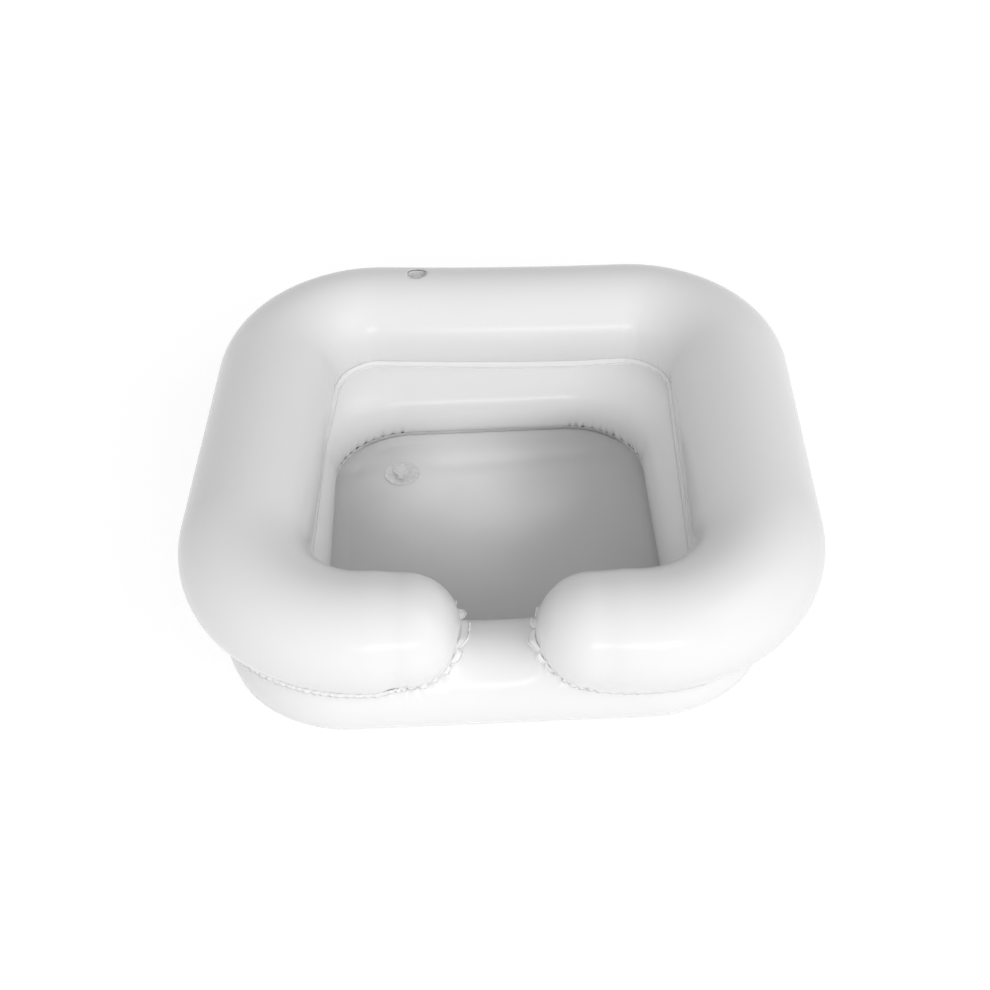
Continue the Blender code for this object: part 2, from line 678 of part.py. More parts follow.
def make_drain(parts, cutters, clear, soft):
    """The drain: a flange on the floor round a raised seat, a short outlet below, and a plug on a strap."""
    place = Matrix.Translation((-DRAIN_FROM_MIDDLE, DRAIN_BEHIND_MIDDLE, FLOOR_HEIGHT))
    frame = empty("drain_frame", parts, place=place @ Matrix.Rotation(QUARTER_TURN, 4, "Z"))
    flange_foot = FIT_CLEARANCE
    flange_top = flange_foot + DRAIN_FLANGE_THICKNESS
    profile = [
        (DRAIN_RIM_RADIUS, DRAIN_RIM_TOP),
        (DRAIN_RIM_RADIUS, flange_top),
        (DRAIN_FLANGE_RADIUS, flange_top),
        (DRAIN_FLANGE_RADIUS, flange_foot),
        (DRAIN_OUTLET_RADIUS, flange_foot),
        (DRAIN_OUTLET_RADIUS, DRAIN_BARB_LENGTH - DRAIN_OUTLET_LENGTH),
        (DRAIN_OUTLET_RADIUS + DRAIN_BARB_HEIGHT, DRAIN_BARB_LENGTH - DRAIN_OUTLET_LENGTH),
        (DRAIN_OUTLET_RADIUS, -DRAIN_OUTLET_LENGTH),
        (DRAIN_BORE_RADIUS, -DRAIN_OUTLET_LENGTH),
        (DRAIN_BORE_RADIUS, DRAIN_RIM_TOP),
    ]
    body = turned("drain_body", profile, True, parts, clear)
    round_edges(body)
    body.parent = frame

    hinge = empty(
        "drain_plug_hinge", parts, frame, Matrix.Translation((DRAIN_HINGE_REACH, 0, DRAIN_RIM_TOP))
    )
    cap_foot = DRAIN_RIM_TOP + FIT_CLEARANCE
    plug_radius = DRAIN_BORE_RADIUS - FIT_CLEARANCE
    profile = [
        (0, cap_foot + DRAIN_CAP_THICKNESS),
        (DRAIN_CAP_RADIUS, cap_foot + DRAIN_CAP_THICKNESS),
        (DRAIN_CAP_RADIUS, cap_foot),
        (plug_radius, cap_foot),
        (plug_radius - DRAIN_PLUG_TAPER, cap_foot - DRAIN_PLUG_LENGTH),
        (0, cap_foot - DRAIN_PLUG_LENGTH),
    ]
    plug = turned("drain_plug", profile, False, parts, clear)
    shape = bmesh.new()
    bmesh.ops.create_cube(shape, size=1)
    tab_length = DRAIN_TAB_REACH + DRAIN_CAP_RADIUS / 2
    bmesh.ops.scale(shape, vec=(tab_length, DRAIN_TAB_WIDTH, DRAIN_TAB_THICKNESS), verts=shape.verts)
    tab_middle = tab_length / 2 - DRAIN_CAP_RADIUS - DRAIN_TAB_REACH
    height = cap_foot + DRAIN_CAP_THICKNESS / 2
    bmesh.ops.translate(shape, vec=(tab_middle, 0, height), verts=shape.verts)
    tab = add_object("finger_tab", mesh_from_bmesh("finger_tab", shape), cutters)
    hang(plug, hinge)
    hang(tab, hinge)
    join(plug, tab)
    round_edges(plug)

    plug_strap = strap(
        "drain_plug_strap",
        DRAIN_HINGE_REACH,
        DRAIN_RIM_TOP,
        DRAIN_RIM_RADIUS + FIT_CLEARANCE,
        DRAIN_CAP_RADIUS + FIT_CLEARANCE,
        DRAIN_STRAP_LOOP_RADIUS,
        DRAIN_STRAP_WIDTH,
        parts,
        soft,
    )
    thicken(plug_strap, DRAIN_STRAP_THICKNESS)
    plug_strap.modifiers["wall"].offset = 0
    plug_strap.parent = frame


def main():
    clear_scene()
    parts = new_collection("portable_shampoo_basin")
    cutters = new_collection("cutters")
    white_film = material("white_vinyl_film", (0.80, 0.82, 0.83, 1), 0.28)
    floor_sheet = material("grey_white_floor_vinyl", (0.62, 0.65, 0.67, 1), 0.34)
    base_sheet = material("white_base_vinyl", (0.76, 0.78, 0.79, 1), 0.32)
    clear_vinyl = material("clear_vinyl", (0.78, 0.80, 0.81, 0.6), 0.2)
    soft_vinyl = material("soft_clear_vinyl", (0.72, 0.75, 0.77, 0.6), 0.26)

    line = upper_centreline()
    upper = make_upper_chamber_film(line, parts, cutters, white_film)
    make_lower_chamber_film(line, parts, cutters, white_film)
    make_base_film(parts, base_sheet)
    make_floor_film(parts, floor_sheet)
    make_valve(line, upper, parts, cutters, clear_vinyl, soft_vinyl)
    make_drain(parts, cutters, clear_vinyl, soft_vinyl)
    for piece in parts.objects:
        if piece.type == "MESH":
            smooth(piece.data, SHARP_ANGLE)


main()
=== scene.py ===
"""A portable inflatable shampoo basin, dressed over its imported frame, in metres, +Z up."""

from math import asin, atan2, ceil, cos, hypot, pi, radians, sin, sqrt

import bmesh
import bpy
import numpy as np
from mathutils import Matrix, Vector
from mathutils.kdtree import KDTree


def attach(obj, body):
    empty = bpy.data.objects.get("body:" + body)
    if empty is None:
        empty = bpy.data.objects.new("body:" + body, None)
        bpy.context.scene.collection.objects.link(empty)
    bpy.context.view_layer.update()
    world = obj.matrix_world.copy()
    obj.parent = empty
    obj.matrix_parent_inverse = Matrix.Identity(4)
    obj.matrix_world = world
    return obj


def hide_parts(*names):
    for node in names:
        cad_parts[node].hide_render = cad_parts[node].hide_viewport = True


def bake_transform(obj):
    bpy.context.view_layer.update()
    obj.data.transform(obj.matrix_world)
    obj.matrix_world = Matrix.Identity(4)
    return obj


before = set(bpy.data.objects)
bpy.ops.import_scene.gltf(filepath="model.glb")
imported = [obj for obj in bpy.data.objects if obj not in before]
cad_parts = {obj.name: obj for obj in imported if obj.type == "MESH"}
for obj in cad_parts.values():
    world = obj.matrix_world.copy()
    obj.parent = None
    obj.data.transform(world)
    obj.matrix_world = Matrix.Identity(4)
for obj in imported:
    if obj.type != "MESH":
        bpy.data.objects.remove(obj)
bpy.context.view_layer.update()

# Upper chamber: a C-shaped tube, drawn from the middle line of its two arms, sides and back
UPPER_HALF_WIDTH = 0.243
UPPER_BACK = 0.23798
UPPER_FRONT = -0.242506
UPPER_HEIGHT = 0.112234
SIDE_RADIUS = 0.062
BACK_RADIUS = 0.05952
ARM_RADIUS = 0.054994
UPPER_FRONT_CORNER = 0.11907
UPPER_BACK_CORNER = 0.112023
ARM_END = 0.083994
BACK_BOW = 0.0045
BACK_BOW_REACH = 0.164
# The search for the weld on a half section: the lowest angle tried, and how often it halves
LOWEST_FOOT = -1.35
HALVINGS = 40

# Lower chamber: a closed ring, a little askew under the upper one
LOWER_HALF_WIDTH = 0.212
LOWER_HALF_DEPTH = 0.209243
LOWER_RADIUS = 0.0477
LOWER_HEIGHT = 0.046414
LOWER_FRONT_CORNER = 0.075048
LOWER_BACK_CORNER = 0.125504
LOWER_CENTRE = (-0.0107, -0.022963)
LOWER_TURN = radians(2.7)
FLOOR_HEIGHT = 0.027988
# Where the floor and the base are welded to the ring's section, as an angle below its middle
WELD_ANGLE = asin((FLOOR_HEIGHT - LOWER_HEIGHT) / LOWER_RADIUS)

# Valve and drain, where the frame has them
VALVE_PLACE = (-0.094274, 0.242826, 0.170519)
VALVE_AXIS = (0.004299, 0.130455, 0.991445)
VALVE_ALONG = (0.999457, -0.032938, 0.0)
VALVE_HOLE = 0.0107
VALVE_DEPTH = 0.012
DRAIN_PLACE = (-0.110028, 0.068004)

# Valve's well: how tall an edge must be to be cut, how often it is cut, and how near two points must be to
# count as one
WELL_STEP = 0.0015
WELL_CUTS = 9
SAME_POINT = 1e-5

# Floor sheet: its rows of points, the flat round the drain, and the dip beside its weld at the back
FLOOR_ROWS = 70
FLOOR_GRADING = 1.6
FLOOR_INNERMOST = 0.985
DRAIN_FLAT = 0.020
DRAIN_CLEAR = 0.030
SLACK_START = 0.02
BACK_DIP = 0.0060
DIP_REACH = 0.0007

# Floor's slack: a hollow at its middle, a fold across its back and a slow ripple
HOLLOW_PLACE = (0.01, -0.02)
HOLLOW_DEPTH = 0.0060
HOLLOW_REACH = 0.10
FOLD_Y = 0.088
FOLD_SLOPE = 0.10
FOLD_DEPTH = 0.0028
FOLD_WIDTH = 0.012
RIPPLE_DEPTH = 0.0009

# Painted light on the floor, a pale patch that stands in for light on and through the film: its middle, half
# sizes and turn, and how far its edge sways
PAINTED_LIGHT_PLACE = (-0.022, 0.095, 0.028)
PAINTED_LIGHT_SIZE = (0.155, 0.195, 1.0)
PAINTED_LIGHT_TURN = radians(8)
PAINTED_LIGHT_SWAY = (0.05, 0.05, 0.0)
PAINTED_LIGHT_SWAY_MM = 90

# Film, welds and the way the film gathers at them
FILM = 0.0004
STEP = 0.0026
FINE_STEP = 0.0014
ROWS = 46
ROW_GRADING = 1.3
RING_ROWS = 100
BASE_ROWS = 40
MARGIN_SHARES = (0.0, 0.25, 0.5, 0.75, 1.0)
BEAD_TURNS = np.radians((125, 90, 55, 20, -20, -55, -90, -125))
BEAD = 0.0009
BEAD_LUMP = 0.0065
SMALL_BEAD = 0.00045
WELD_WIDTH = 0.0042
OUTER_TILT = radians(-18)
ROOT_ABOVE = 0.0050
END_ROOT_ABOVE = 0.0028
BAND_ABOVE = 0.0045
BAND_BELOW = 0.0055
MARGIN_THICKNESS = 0.0007
FLOOR_WELD_WIDTH = 0.0008
BASE_BAND_ABOVE = 0.0018
BASE_BAND_BELOW = 0.0010
BASE_BAND_RISE = 0.0003
WELD_STIFF = 0.0012
WELD_TUCK = 0.0012
MARGIN_RIPPLE = 0.0125
FLOOR_MARGIN_RIPPLE = 0.0105
FLOOR_MARGIN_TILT = 0.35
BASE_MARGIN_RIPPLE = 0.012
LOBE_FULLNESS = 0.8
LOBE_REACH = 0.007
LEAST_CREASE = 0.00002
CREASE_REACH = 0.008
LEVEL_REACH = 0.004
PULL_REACH = 0.009
GATHER_LIMIT = 0.05
FLOOR_GATHER_LIMIT = 0.04

# How strongly the upper film gathers, from 0 to 1, and how far apart its gathers are
PLAIN_STRENGTH = 0.07
CORNER_STRENGTH = 0.10
LEFT_FRONT_STRENGTH = 0.55
RIGHT_FRONT_STRENGTH = 0.22
OUTER_END_STRENGTH = 0.6
INNER_END_STRENGTH = 0.40
STRENGTH_FADE = 0.03
CREASE_FADE = 0.02
CLOSE_SPACING = 0.0066
WIDE_SPACING = 0.0095

# Notches and creases of the upper film's gathers, then of the floor's
NOTCH = 0.0032
CREASE = 0.0014
END_CREASE = 0.0030
CREASE_WIDTH = 0.0015
FLOOR_NOTCH = 0.0024
FLOOR_CREASE = 0.0018
FLOOR_CREASE_WIDTH = 0.0016
FLOOR_CREASE_REACH = 0.010

# Arms' ends, where the film is gathered most and draws the weld up
FRONT_LIMIT = -0.05
END_TAPER = 0.032
END_TOP_FALL = 0.002
END_DIRECTIONS = np.radians((-90, -60, -40, -20, 0, 45, 90))
LEFT_END_FALL = (0.0055, 0.0053, 0.0060, 0.0078, 0.0074, 0.0030, 0.0015)
RIGHT_END_FALL = (0.0020, 0.0034, 0.0046, 0.0040, 0.0032, 0.0020, 0.0015)
END_CREASE_REACH = (0.028, 0.028, 0.014, 0.006, 0.006, 0.018, 0.022)
END_FOOT = radians(-9)
# Directions round an arm's end, in degrees, between which its weld is lifted
LIFT_FROM = -45
LIFT_RISE = 40
LIFT_TO = 75
LIFT_FALL = 35
LIFTED_WAY = (1.0, 0.12)
LEFT_END_WIDTH = 0.0105
RIGHT_END_WIDTH = 0.0075
END_SCALLOP = 0.6
LEFT_END_GATHERS = (0.010, 0.009, 0.011, 0.015, 0.016, 0.032, 0.015, 0.009, 0.009, 0.010)
RIGHT_END_GATHERS = (0.010, 0.010, 0.012, 0.016, 0.017, 0.010, 0.026)
RIGHT_END_GATHERS += (0.012, 0.011, 0.009, 0.008, 0.008, 0.007)

# Vinyl's surfaces
VINYL_IOR = 1.53
GLOSS_DRIFT = 0.03
FLOOR_ROUGHNESS = 0.35
FLOOR_GLOSS_DRIFT = 0.05
MOULD_RIPPLE_MM = 3.5

# Light: an even studio with a broad white wall in front, a little to the right
ROOM_LEVEL = 0.29
FRONT_LEVEL = 1.54
FRONT_WAY = (0.28, -0.96, 0.03)
# The floor's own white, to which its shaded white adds the rest
SEEN_LEVEL = 0.80
STAGE_HALF = 4.0
LIT_SPOT = (0, 0, 0.08)

# Camera: where the photograph was taken from
CAMERA_PLACE = (0.02526, -1.1384, 1.0825)
CAMERA_YAW = radians(-1.656)
CAMERA_DOWN = radians(42.0)
CAMERA_ROLL = radians(1.665)
CAMERA_LENS = 53.71
CAMERA_SENSOR = 36

SEED = 7


def half_line(start_x, half_width, front, back, front_corner, back_corner, reach):
    """Points of the right half of a rounded outline, front to back: x, y and the outward direction."""
    places = []

    def straight(x0, y0, x1, y1, facing, step):
        steps = max(1, ceil(hypot(x1 - x0, y1 - y0) / step))
        for number in range(steps):
            along = number / steps
            places.append((x0 + (x1 - x0) * along, y0 + (y1 - y0) * along, facing))

    def corner(x, y, radius, facing, step):
        steps = ceil((radius + reach) * pi / 2 / step)
        for number in range(steps):
            angle = facing + pi / 2 * number / steps
            places.append((x + radius * cos(angle), y + radius * sin(angle), angle))

    straight(start_x, front, half_width - front_corner, front, -pi / 2, FINE_STEP)
    corner(half_width - front_corner, front + front_corner, front_corner, -pi / 2, FINE_STEP)
    straight(half_width, front + front_corner, half_width, back - back_corner, 0, STEP)
    corner(half_width - back_corner, back - back_corner, back_corner, 0, STEP)
    straight(half_width - back_corner, back, 0, back, pi / 2, STEP)
    return np.array(places)


def with_mirror(half, back, closed):
    """The whole outline from its right half, through the middle of the back."""
    middle = np.array([[0, back, pi / 2]])
    left = half[::-1].copy()
    left[:, 0] *= -1
    left[:, 2] = pi - left[:, 2]
    if closed:
        left = left[:-1]
    return np.vstack([half, middle, left])


def upper_line():
    """The upper chamber's middle line from the right arm's end to the left one's, with its radius."""
    sides = (ARM_END, UPPER_HALF_WIDTH, UPPER_FRONT, UPPER_BACK)
    half = half_line(*sides, UPPER_FRONT_CORNER, UPPER_BACK_CORNER, SIDE_RADIUS)
    x, y, facing = with_mirror(half, UPPER_BACK, False).T
    at_back = np.sin(facing) > 0
    y = y - np.where(at_back, BACK_BOW * np.clip(1 - (x / BACK_BOW_REACH) ** 2, 0, 1), 0)
    end_radius = np.where(at_back, BACK_RADIUS, ARM_RADIUS)
    radius = SIDE_RADIUS * np.cos(facing) ** 2 + end_radius * np.sin(facing) ** 2
    return np.column_stack([x, y, facing, radius])


def lower_line():
    """The lower ring's middle line with its outward direction, all the way round."""
    sides = (0, LOWER_HALF_WIDTH, -LOWER_HALF_DEPTH, LOWER_HALF_DEPTH)
    half = half_line(*sides, LOWER_FRONT_CORNER, LOWER_BACK_CORNER, LOWER_RADIUS)
    x, y, facing = with_mirror(half, LOWER_HALF_DEPTH, True).T
    c, s = cos(LOWER_TURN), sin(LOWER_TURN)
    return np.column_stack(
        [LOWER_CENTRE[0] + c * x - s * y, LOWER_CENTRE[1] + s * x + c * y, facing + LOWER_TURN]
    )


def to_lower_section(points):
    """Signed distance outward from the lower ring's middle line, its direction, and the height above it."""
    c, s = cos(LOWER_TURN), sin(LOWER_TURN)
    dx, dy = points[..., 0] - LOWER_CENTRE[0], points[..., 1] - LOWER_CENTRE[1]
    x, y = c * dx + s * dy, c * dy - s * dx
    corner = np.where(y > 0, LOWER_BACK_CORNER, LOWER_FRONT_CORNER)
    qx, qy = np.abs(x) - LOWER_HALF_WIDTH + corner, np.abs(y) - LOWER_HALF_DEPTH + corner
    both = (qx > 0) & (qy > 0)
    outward = np.where(both, np.hypot(qx, qy), np.maximum(qx, qy)) - corner
    nx = np.where(both, qx, (qx >= qy) * 1.0) * np.sign(x)
    ny = np.where(both, qy, (qx < qy) * 1.0) * np.sign(y)
    length = np.hypot(nx, ny)
    nx, ny = nx / length, ny / length
    direction = np.stack([c * nx - s * ny, s * nx + c * ny], axis=-1)
    return outward, direction, points[..., 2] - LOWER_HEIGHT


class UpperHalves:
    """The half sections of the upper film, in order round its weld, each from the weld up to the spine."""

    def __init__(self):
        line = upper_line()
        count = len(line)
        fan = ceil(pi * ARM_RADIUS / FINE_STEP)
        turn = np.linspace(0, pi, fan + 1)[1:-1]

        def fan_at(index, start):
            x, y, facing, radius = line[index]
            return np.column_stack(
                [np.full(fan - 1, v) for v in (x, y)]
                + [start + turn, np.full(fan - 1, radius), np.full(fan - 1, index % count)]
            )

        outer = np.column_stack([line, np.arange(count)])
        inner = outer[::-1].copy()
        inner[:, 2] += pi
        self.line = line
        self.rows = np.vstack([outer, fan_at(-1, line[-1, 2]), inner, fan_at(0, line[0, 2] + pi)])
        self.x, self.y, self.facing, self.radius, spine = self.rows.T
        self.spine = spine.astype(int)
        self.is_outer = np.arange(len(self.rows)) < count
        self.is_fan = np.zeros(len(self.rows), bool)
        self.is_fan[count : count + fan - 1] = True
        self.is_fan[2 * count + fan - 1 :] = True
        self.is_left = self.x < 0
        self.at_front = self.y < FRONT_LIMIT
        self.in_corner = np.abs(np.sin(2 * self.facing)) > 1e-6
        self.top_radius = self.radius - END_TOP_FALL * near_end(line)[self.spine]
        self.weld_radius = self.radius - end_fall(line, self.spine, np.cos(self.facing), np.sin(self.facing))
        self.place_weld()
        self.raise_ends()

    def in_plane(self, reach, height):
        """Points at a reach from the middle line and a height, each in its own section."""
        grow = (slice(None),) + (None,) * (np.ndim(reach) - 1)
        x = self.x[grow] + np.cos(self.facing)[grow] * reach
        y = self.y[grow] + np.sin(self.facing)[grow] * reach
        return np.stack([x, y, height], axis=-1)

    def on_weld_radius(self, angle):
        reach = self.weld_radius * np.cos(angle)
        return self.in_plane(reach, UPPER_HEIGHT + self.weld_radius * np.sin(angle))

    def place_weld(self):
        """Finds where each half section meets the lower chamber, by halving."""
        high = np.full(len(self.rows), pi / 2)
        low = np.full(len(self.rows), LOWEST_FOOT)
        for step in range(HALVINGS):
            middle = (high + low) / 2
            outward, direction, above = to_lower_section(self.on_weld_radius(middle))
            free = np.hypot(outward, above) > LOWER_RADIUS
            high = np.where(free, middle, high)
            low = np.where(free, low, middle)
        self.round_foot = high
        self.round_weld = self.on_weld_radius(high)

    def raise_ends(self):
        """Lifts the weld where an arm's end faces the gap and its taut film pulls the ring's film up."""
        side = np.where(self.is_left, 1, -1)
        self.round_end = np.arctan2(np.sin(self.facing), side * np.cos(self.facing))
        degrees_round = np.degrees(self.round_end)
        lifted = ease((degrees_round - LIFT_FROM) / LIFT_RISE) * ease((LIFT_TO - degrees_round) / LIFT_FALL)
        self.lifted = np.where(self.is_fan, lifted, 0)
        self.foot = self.round_foot + (END_FOOT - self.round_foot) * self.lifted
        self.weld_reach = self.weld_radius * np.cos(self.foot)
        self.weld_height = UPPER_HEIGHT + self.weld_radius * np.sin(self.foot)
        self.weld = self.in_plane(self.weld_reach, self.weld_height)

    def profile(self, share):
        """The film's sections from the weld (share 0) to the spine (share 1): reach and height."""
        angle = self.foot[:, None] + (pi / 2 - self.foot)[:, None] * share[None, :]
        grown = 1 - (1 - share) ** 2
        radius = self.weld_radius[:, None] + (self.top_radius - self.weld_radius)[:, None] * grown[None, :]
        return radius * np.cos(angle), UPPER_HEIGHT + radius * np.sin(angle)


def near_end(line):
    """How near each point of the upper middle line is to an arm's end, from 1 there to 0 further back."""
    steps = np.hypot(np.diff(line[:, 0]), np.diff(line[:, 1]))
    along = np.concatenate([[0], np.cumsum(steps)])
    return ease(1 - np.minimum(along, along[-1] - along) / END_TAPER)


def end_fall(line, index, dx, dy):
    """How much smaller the arms' radius is at the weld near their ends, in a direction dx, dy in plan."""
    left = line[index, 0] < 0
    direction = np.arctan2(dy, np.where(left, dx, -dx))
    fall = np.where(
        left,
        np.interp(direction, END_DIRECTIONS, LEFT_END_FALL),
        np.interp(direction, END_DIRECTIONS, RIGHT_END_FALL),
    )
    return fall * near_end(line)[index]


def ease(value):
    value = np.clip(value, 0, 1)
    return value * value * (3 - 2 * value)


def way_in_plan(facing):
    return np.column_stack([np.cos(facing), np.sin(facing)])


def closed_lengths(points):
    """Distance along a closed line to each of its points, and its whole length."""
    steps = np.linalg.norm(np.roll(points, -1, axis=0) - points, axis=1)
    return np.concatenate([[0], np.cumsum(steps)[:-1]]), steps.sum()


def smooth_round(values, reach):
    """A running mean round a closed line."""
    kernel = np.hanning(2 * reach + 1)
    kernel /= kernel.sum()
    padded = np.concatenate([values[-reach:], values, values[:reach]])
    return np.convolve(padded, kernel, mode="valid")


class Gathers:
    """How a film gathers along its weld: notches with a crease above each, and a soft lobe between two."""

    def __init__(self, lengths, whole, strength, spacing, notch, crease, width, reach, seed, stretches=()):
        draw = np.random.default_rng(seed)
        self.whole = whole
        places = []
        place = 0.0
        while place < whole - spacing.max() / 2:
            places.append(place)
            place += np.interp(place, lengths, spacing) * draw.uniform(0.6, 1.45)
        for start, steps in stretches:
            chosen = [start + v for v in np.cumsum((0,) + steps)]
            free = [v for v in places if not chosen[0] - steps[0] / 2 < v < chosen[-1] + steps[-1] / 2]
            places = free + chosen
        self.places = np.array(sorted(places))
        count = len(self.places)
        here = np.interp(self.places, lengths, strength)
        self.notch = notch * here * draw.uniform(0.55, 1.0, count)
        self.crease = np.interp(self.places, lengths, crease) * here * draw.uniform(0.3, 1.0, count)
        self.width = width * draw.uniform(0.7, 1.35, count)
        self.reach = np.interp(self.places, lengths, reach) * draw.uniform(0.6, 1.3, count)
        self.lean = draw.uniform(-0.30, 0.30, count)
        self.curl = draw.uniform(-0.45, 1.0, count)
        self.ends = np.append(self.places, self.places[0] + whole)

    def lobe(self, along):
        """The lobe at a place on the weld, and the share of the way from its first notch to its second."""
        along = (along - self.places[0]) % self.whole + self.places[0]
        index = np.clip(np.searchsorted(self.ends, along, side="right") - 1, 0, len(self.places) - 1)
        share = (along - self.ends[index]) / (self.ends[index + 1] - self.ends[index])
        return index, share

    def between(self, values, index, share):
        return values[index] + (values[(index + 1) % len(values)] - values[index]) * share

    def drawn_in(self, along, away):
        """How far the lobes' edges draw the film in, at a distance along the weld and away from it."""
        index, share = self.lobe(along)
        depth = self.between(self.notch, index, share)
        sides = 1 - (4 * share * (1 - share)).clip(0, 1) ** LOBE_FULLNESS
        return depth * sides * np.exp(-away / LOBE_REACH)

    def creased(self, along, away):
        """The depth of the sharp creases above the notches."""
        total = np.zeros(np.broadcast(along, away).shape)
        each = zip(self.places, self.crease, self.width, self.reach, self.lean)
        for place, depth, width, reach, lean in each:
            if depth < LEAST_CREASE:
                continue
            beside = along - place - lean * away
            beside = np.abs((beside + self.whole / 2) % self.whole - self.whole / 2)
            spread = width * (1 + away / reach)
            line = np.exp(-((beside / spread) ** 1.25)) * np.exp(-((away / reach) ** 1.1))
            total += np.where(beside < 7 * spread, depth * line, 0)
        return total * np.clip(away / WELD_STIFF, 0, 1)

    def depth_at(self, along, away):
        return self.drawn_in(along, away) + self.creased(along, away)

    def scalloped(self, along):
        """The round outline of the weld's margin: 1 in the middle of a lobe, 0 at its notches."""
        index, share = self.lobe(along)
        return (4 * share * (1 - share)).clip(0, 1) ** 0.45

    def curled(self, along):
        """How far the weld's margin curls up, lobe by lobe."""
        index, share = self.lobe(along)
        return self.curl[index] * (4 * share * (1 - share)).clip(0, 1) ** 0.8


def build_mesh(name, points, faces, smooth=True):
    mesh = bpy.data.meshes.new(name)
    mesh.from_pydata([tuple(p) for p in points], [], faces)
    mesh.update()
    if smooth:
        mesh.shade_smooth()
    made = bpy.data.objects.new(name, mesh)
    bpy.context.scene.collection.objects.link(made)
    return made


def sheet_faces(rows, columns):
    """Quads of a sheet of closed rows, and the triangles that join its last row to a point in its middle."""
    faces = []
    for row in range(rows):
        for column in range(columns):
            a, b = row * columns + column, row * columns + (column + 1) % columns
            if row < rows - 1:
                faces.append((a, b, b + columns, a + columns))
            else:
                faces.append((a, b, rows * columns))
    return faces


def thicken(piece, thickness):
    """Gives a film its thickness, inwards from the surface that was drawn."""
    wall = piece.modifiers.new("film", "SOLIDIFY")
    wall.thickness = thickness
    wall.offset = -1


def upper_strength(halves):
    """How strongly the film gathers at each place of the weld between the chambers."""
    corner = halves.in_corner & ~halves.is_fan
    strength = PLAIN_STRENGTH + CORNER_STRENGTH * corner
    front = np.where(halves.is_left, LEFT_FRONT_STRENGTH, RIGHT_FRONT_STRENGTH)
    strength = np.where(halves.is_outer & halves.at_front, front, strength)
    strength += ~halves.is_outer * corner * CORNER_STRENGTH
    end = np.where(halves.is_outer, OUTER_END_STRENGTH, INNER_END_STRENGTH)
    strength = np.maximum(strength, beside_end(halves, STRENGTH_FADE) * end)
    strength = np.where(halves.is_fan, 1.0, strength)
    return smooth_round(strength, 9)


def gather_spacing(halves):
    """Closer gathers along the left front, where the film is crinkled most finely."""
    return np.where(halves.is_outer & halves.at_front & halves.is_left, CLOSE_SPACING, WIDE_SPACING)


def beside_end(halves, fade):
    """1 round an arm's end, falling off along the arm."""
    return np.exp(-(np.abs(halves.x) - ARM_END).clip(0) / fade) * (halves.y < UPPER_FRONT / 2)


def crease_reach(halves):
    """How far the creases run up the film: short where an arm's end faces the gap, longer to both sides."""
    at_end = np.interp(halves.round_end, END_DIRECTIONS, END_CREASE_REACH)
    return smooth_round(CREASE_REACH + (at_end - CREASE_REACH) * beside_end(halves, CREASE_FADE), 5)


def upper_film(halves, lengths, gathers):
    """The upper film from its weld to its spine, gathered along the weld."""
    share = np.concatenate([[-WELD_TUCK], (np.arange(ROWS) / ROWS) ** ROW_GRADING])
    reach, height = halves.profile(share.clip(0))
    away = np.hypot(np.diff(reach, axis=1), np.diff(height, axis=1)).cumsum(axis=1)
    away = np.hstack([np.zeros((len(reach), 1)), away])
    along = lengths[:, None]
    normal_reach = np.gradient(height, axis=1)
    normal_height = -np.gradient(reach, axis=1)
    length = np.hypot(normal_reach, normal_height)
    length[:, 0] = 1.0
    normal_reach, normal_height = normal_reach / length, normal_height / length
    lobes = gathers.drawn_in(along, away)
    creases = gathers.creased(along, away)
    level = np.exp(-away / LEVEL_REACH)
    reach = reach - lobes * (level + (1 - level) * normal_reach) - creases * normal_reach
    height = height - lobes * (1 - level) * normal_height - creases * normal_height
    height[:, 0] -= WELD_TUCK
    points = halves.in_plane(reach, height)

    rows = points.shape[1]
    line = halves.line
    top = UPPER_HEIGHT + line[:, 3] - END_TOP_FALL * near_end(line)
    spine = np.column_stack([line[:, 0], line[:, 1], top])
    body = points.reshape(-1, 3)
    spine_of = halves.spine + len(body)
    count = len(halves.rows)
    faces = []
    for column in range(count):
        beside = (column + 1) % count
        for row in range(rows - 1):
            a, b = column * rows + row, beside * rows + row
            faces.append((a, b, b + 1, a + 1))
        a, b = column * rows + rows - 1, beside * rows + rows - 1
        if spine_of[column] == spine_of[beside]:
            faces.append((a, b, spine_of[column]))
        else:
            faces.append((a, b, spine_of[beside], spine_of[column]))
    vertices, faces = with_valve_hole(np.vstack([body, spine]), faces)
    return build_mesh("upper_film", vertices, faces)


def crown_terms(u, v):
    """The terms of a crowned surface, up to the second power."""
    return np.column_stack([np.ones(len(u)), u, v, u * u, u * v, v * v])


def with_valve_hole(vertices, faces):
    """Opens a round hole for the valve, whose edge lies on its circle and in the film's own curve."""
    axis, along = np.array(VALVE_AXIS), np.array(VALVE_ALONG)
    across = np.cross(axis, along)
    local = vertices - np.array(VALVE_PLACE)
    u, v, w = local @ along, local @ across, local @ axis
    distance = np.hypot(u, v)
    beside = np.abs(w) < VALVE_DEPTH
    inside = (distance < VALVE_HOLE) & beside
    kept, edge = [], set()
    for face in faces:
        hits = sum(inside[i] for i in face)
        if hits >= len(face) / 2:
            edge.update(face)
        else:
            kept.append(face)
    used = set()
    for face in kept:
        used.update(face)
    near = (distance < 2 * VALVE_HOLE) & beside
    curve = np.linalg.lstsq(crown_terms(u[near], v[near]), w[near], rcond=None)[0]
    ring = sorted(edge & used, key=lambda i: atan2(v[i], u[i]))
    turns = 2 * pi * np.arange(len(ring)) / len(ring)
    turns += np.mean(np.arctan2(v[ring], u[ring]) - turns)
    a, b = VALVE_HOLE * np.cos(turns), VALVE_HOLE * np.sin(turns)
    height = crown_terms(a, b) @ curve
    vertices[ring] = VALVE_PLACE + np.outer(a, along) + np.outer(b, across) + np.outer(height, axis)
    order = sorted(used)
    new_index = {old: new for new, old in enumerate(order)}
    return vertices[order], [tuple(new_index[i] for i in face) for face in kept]


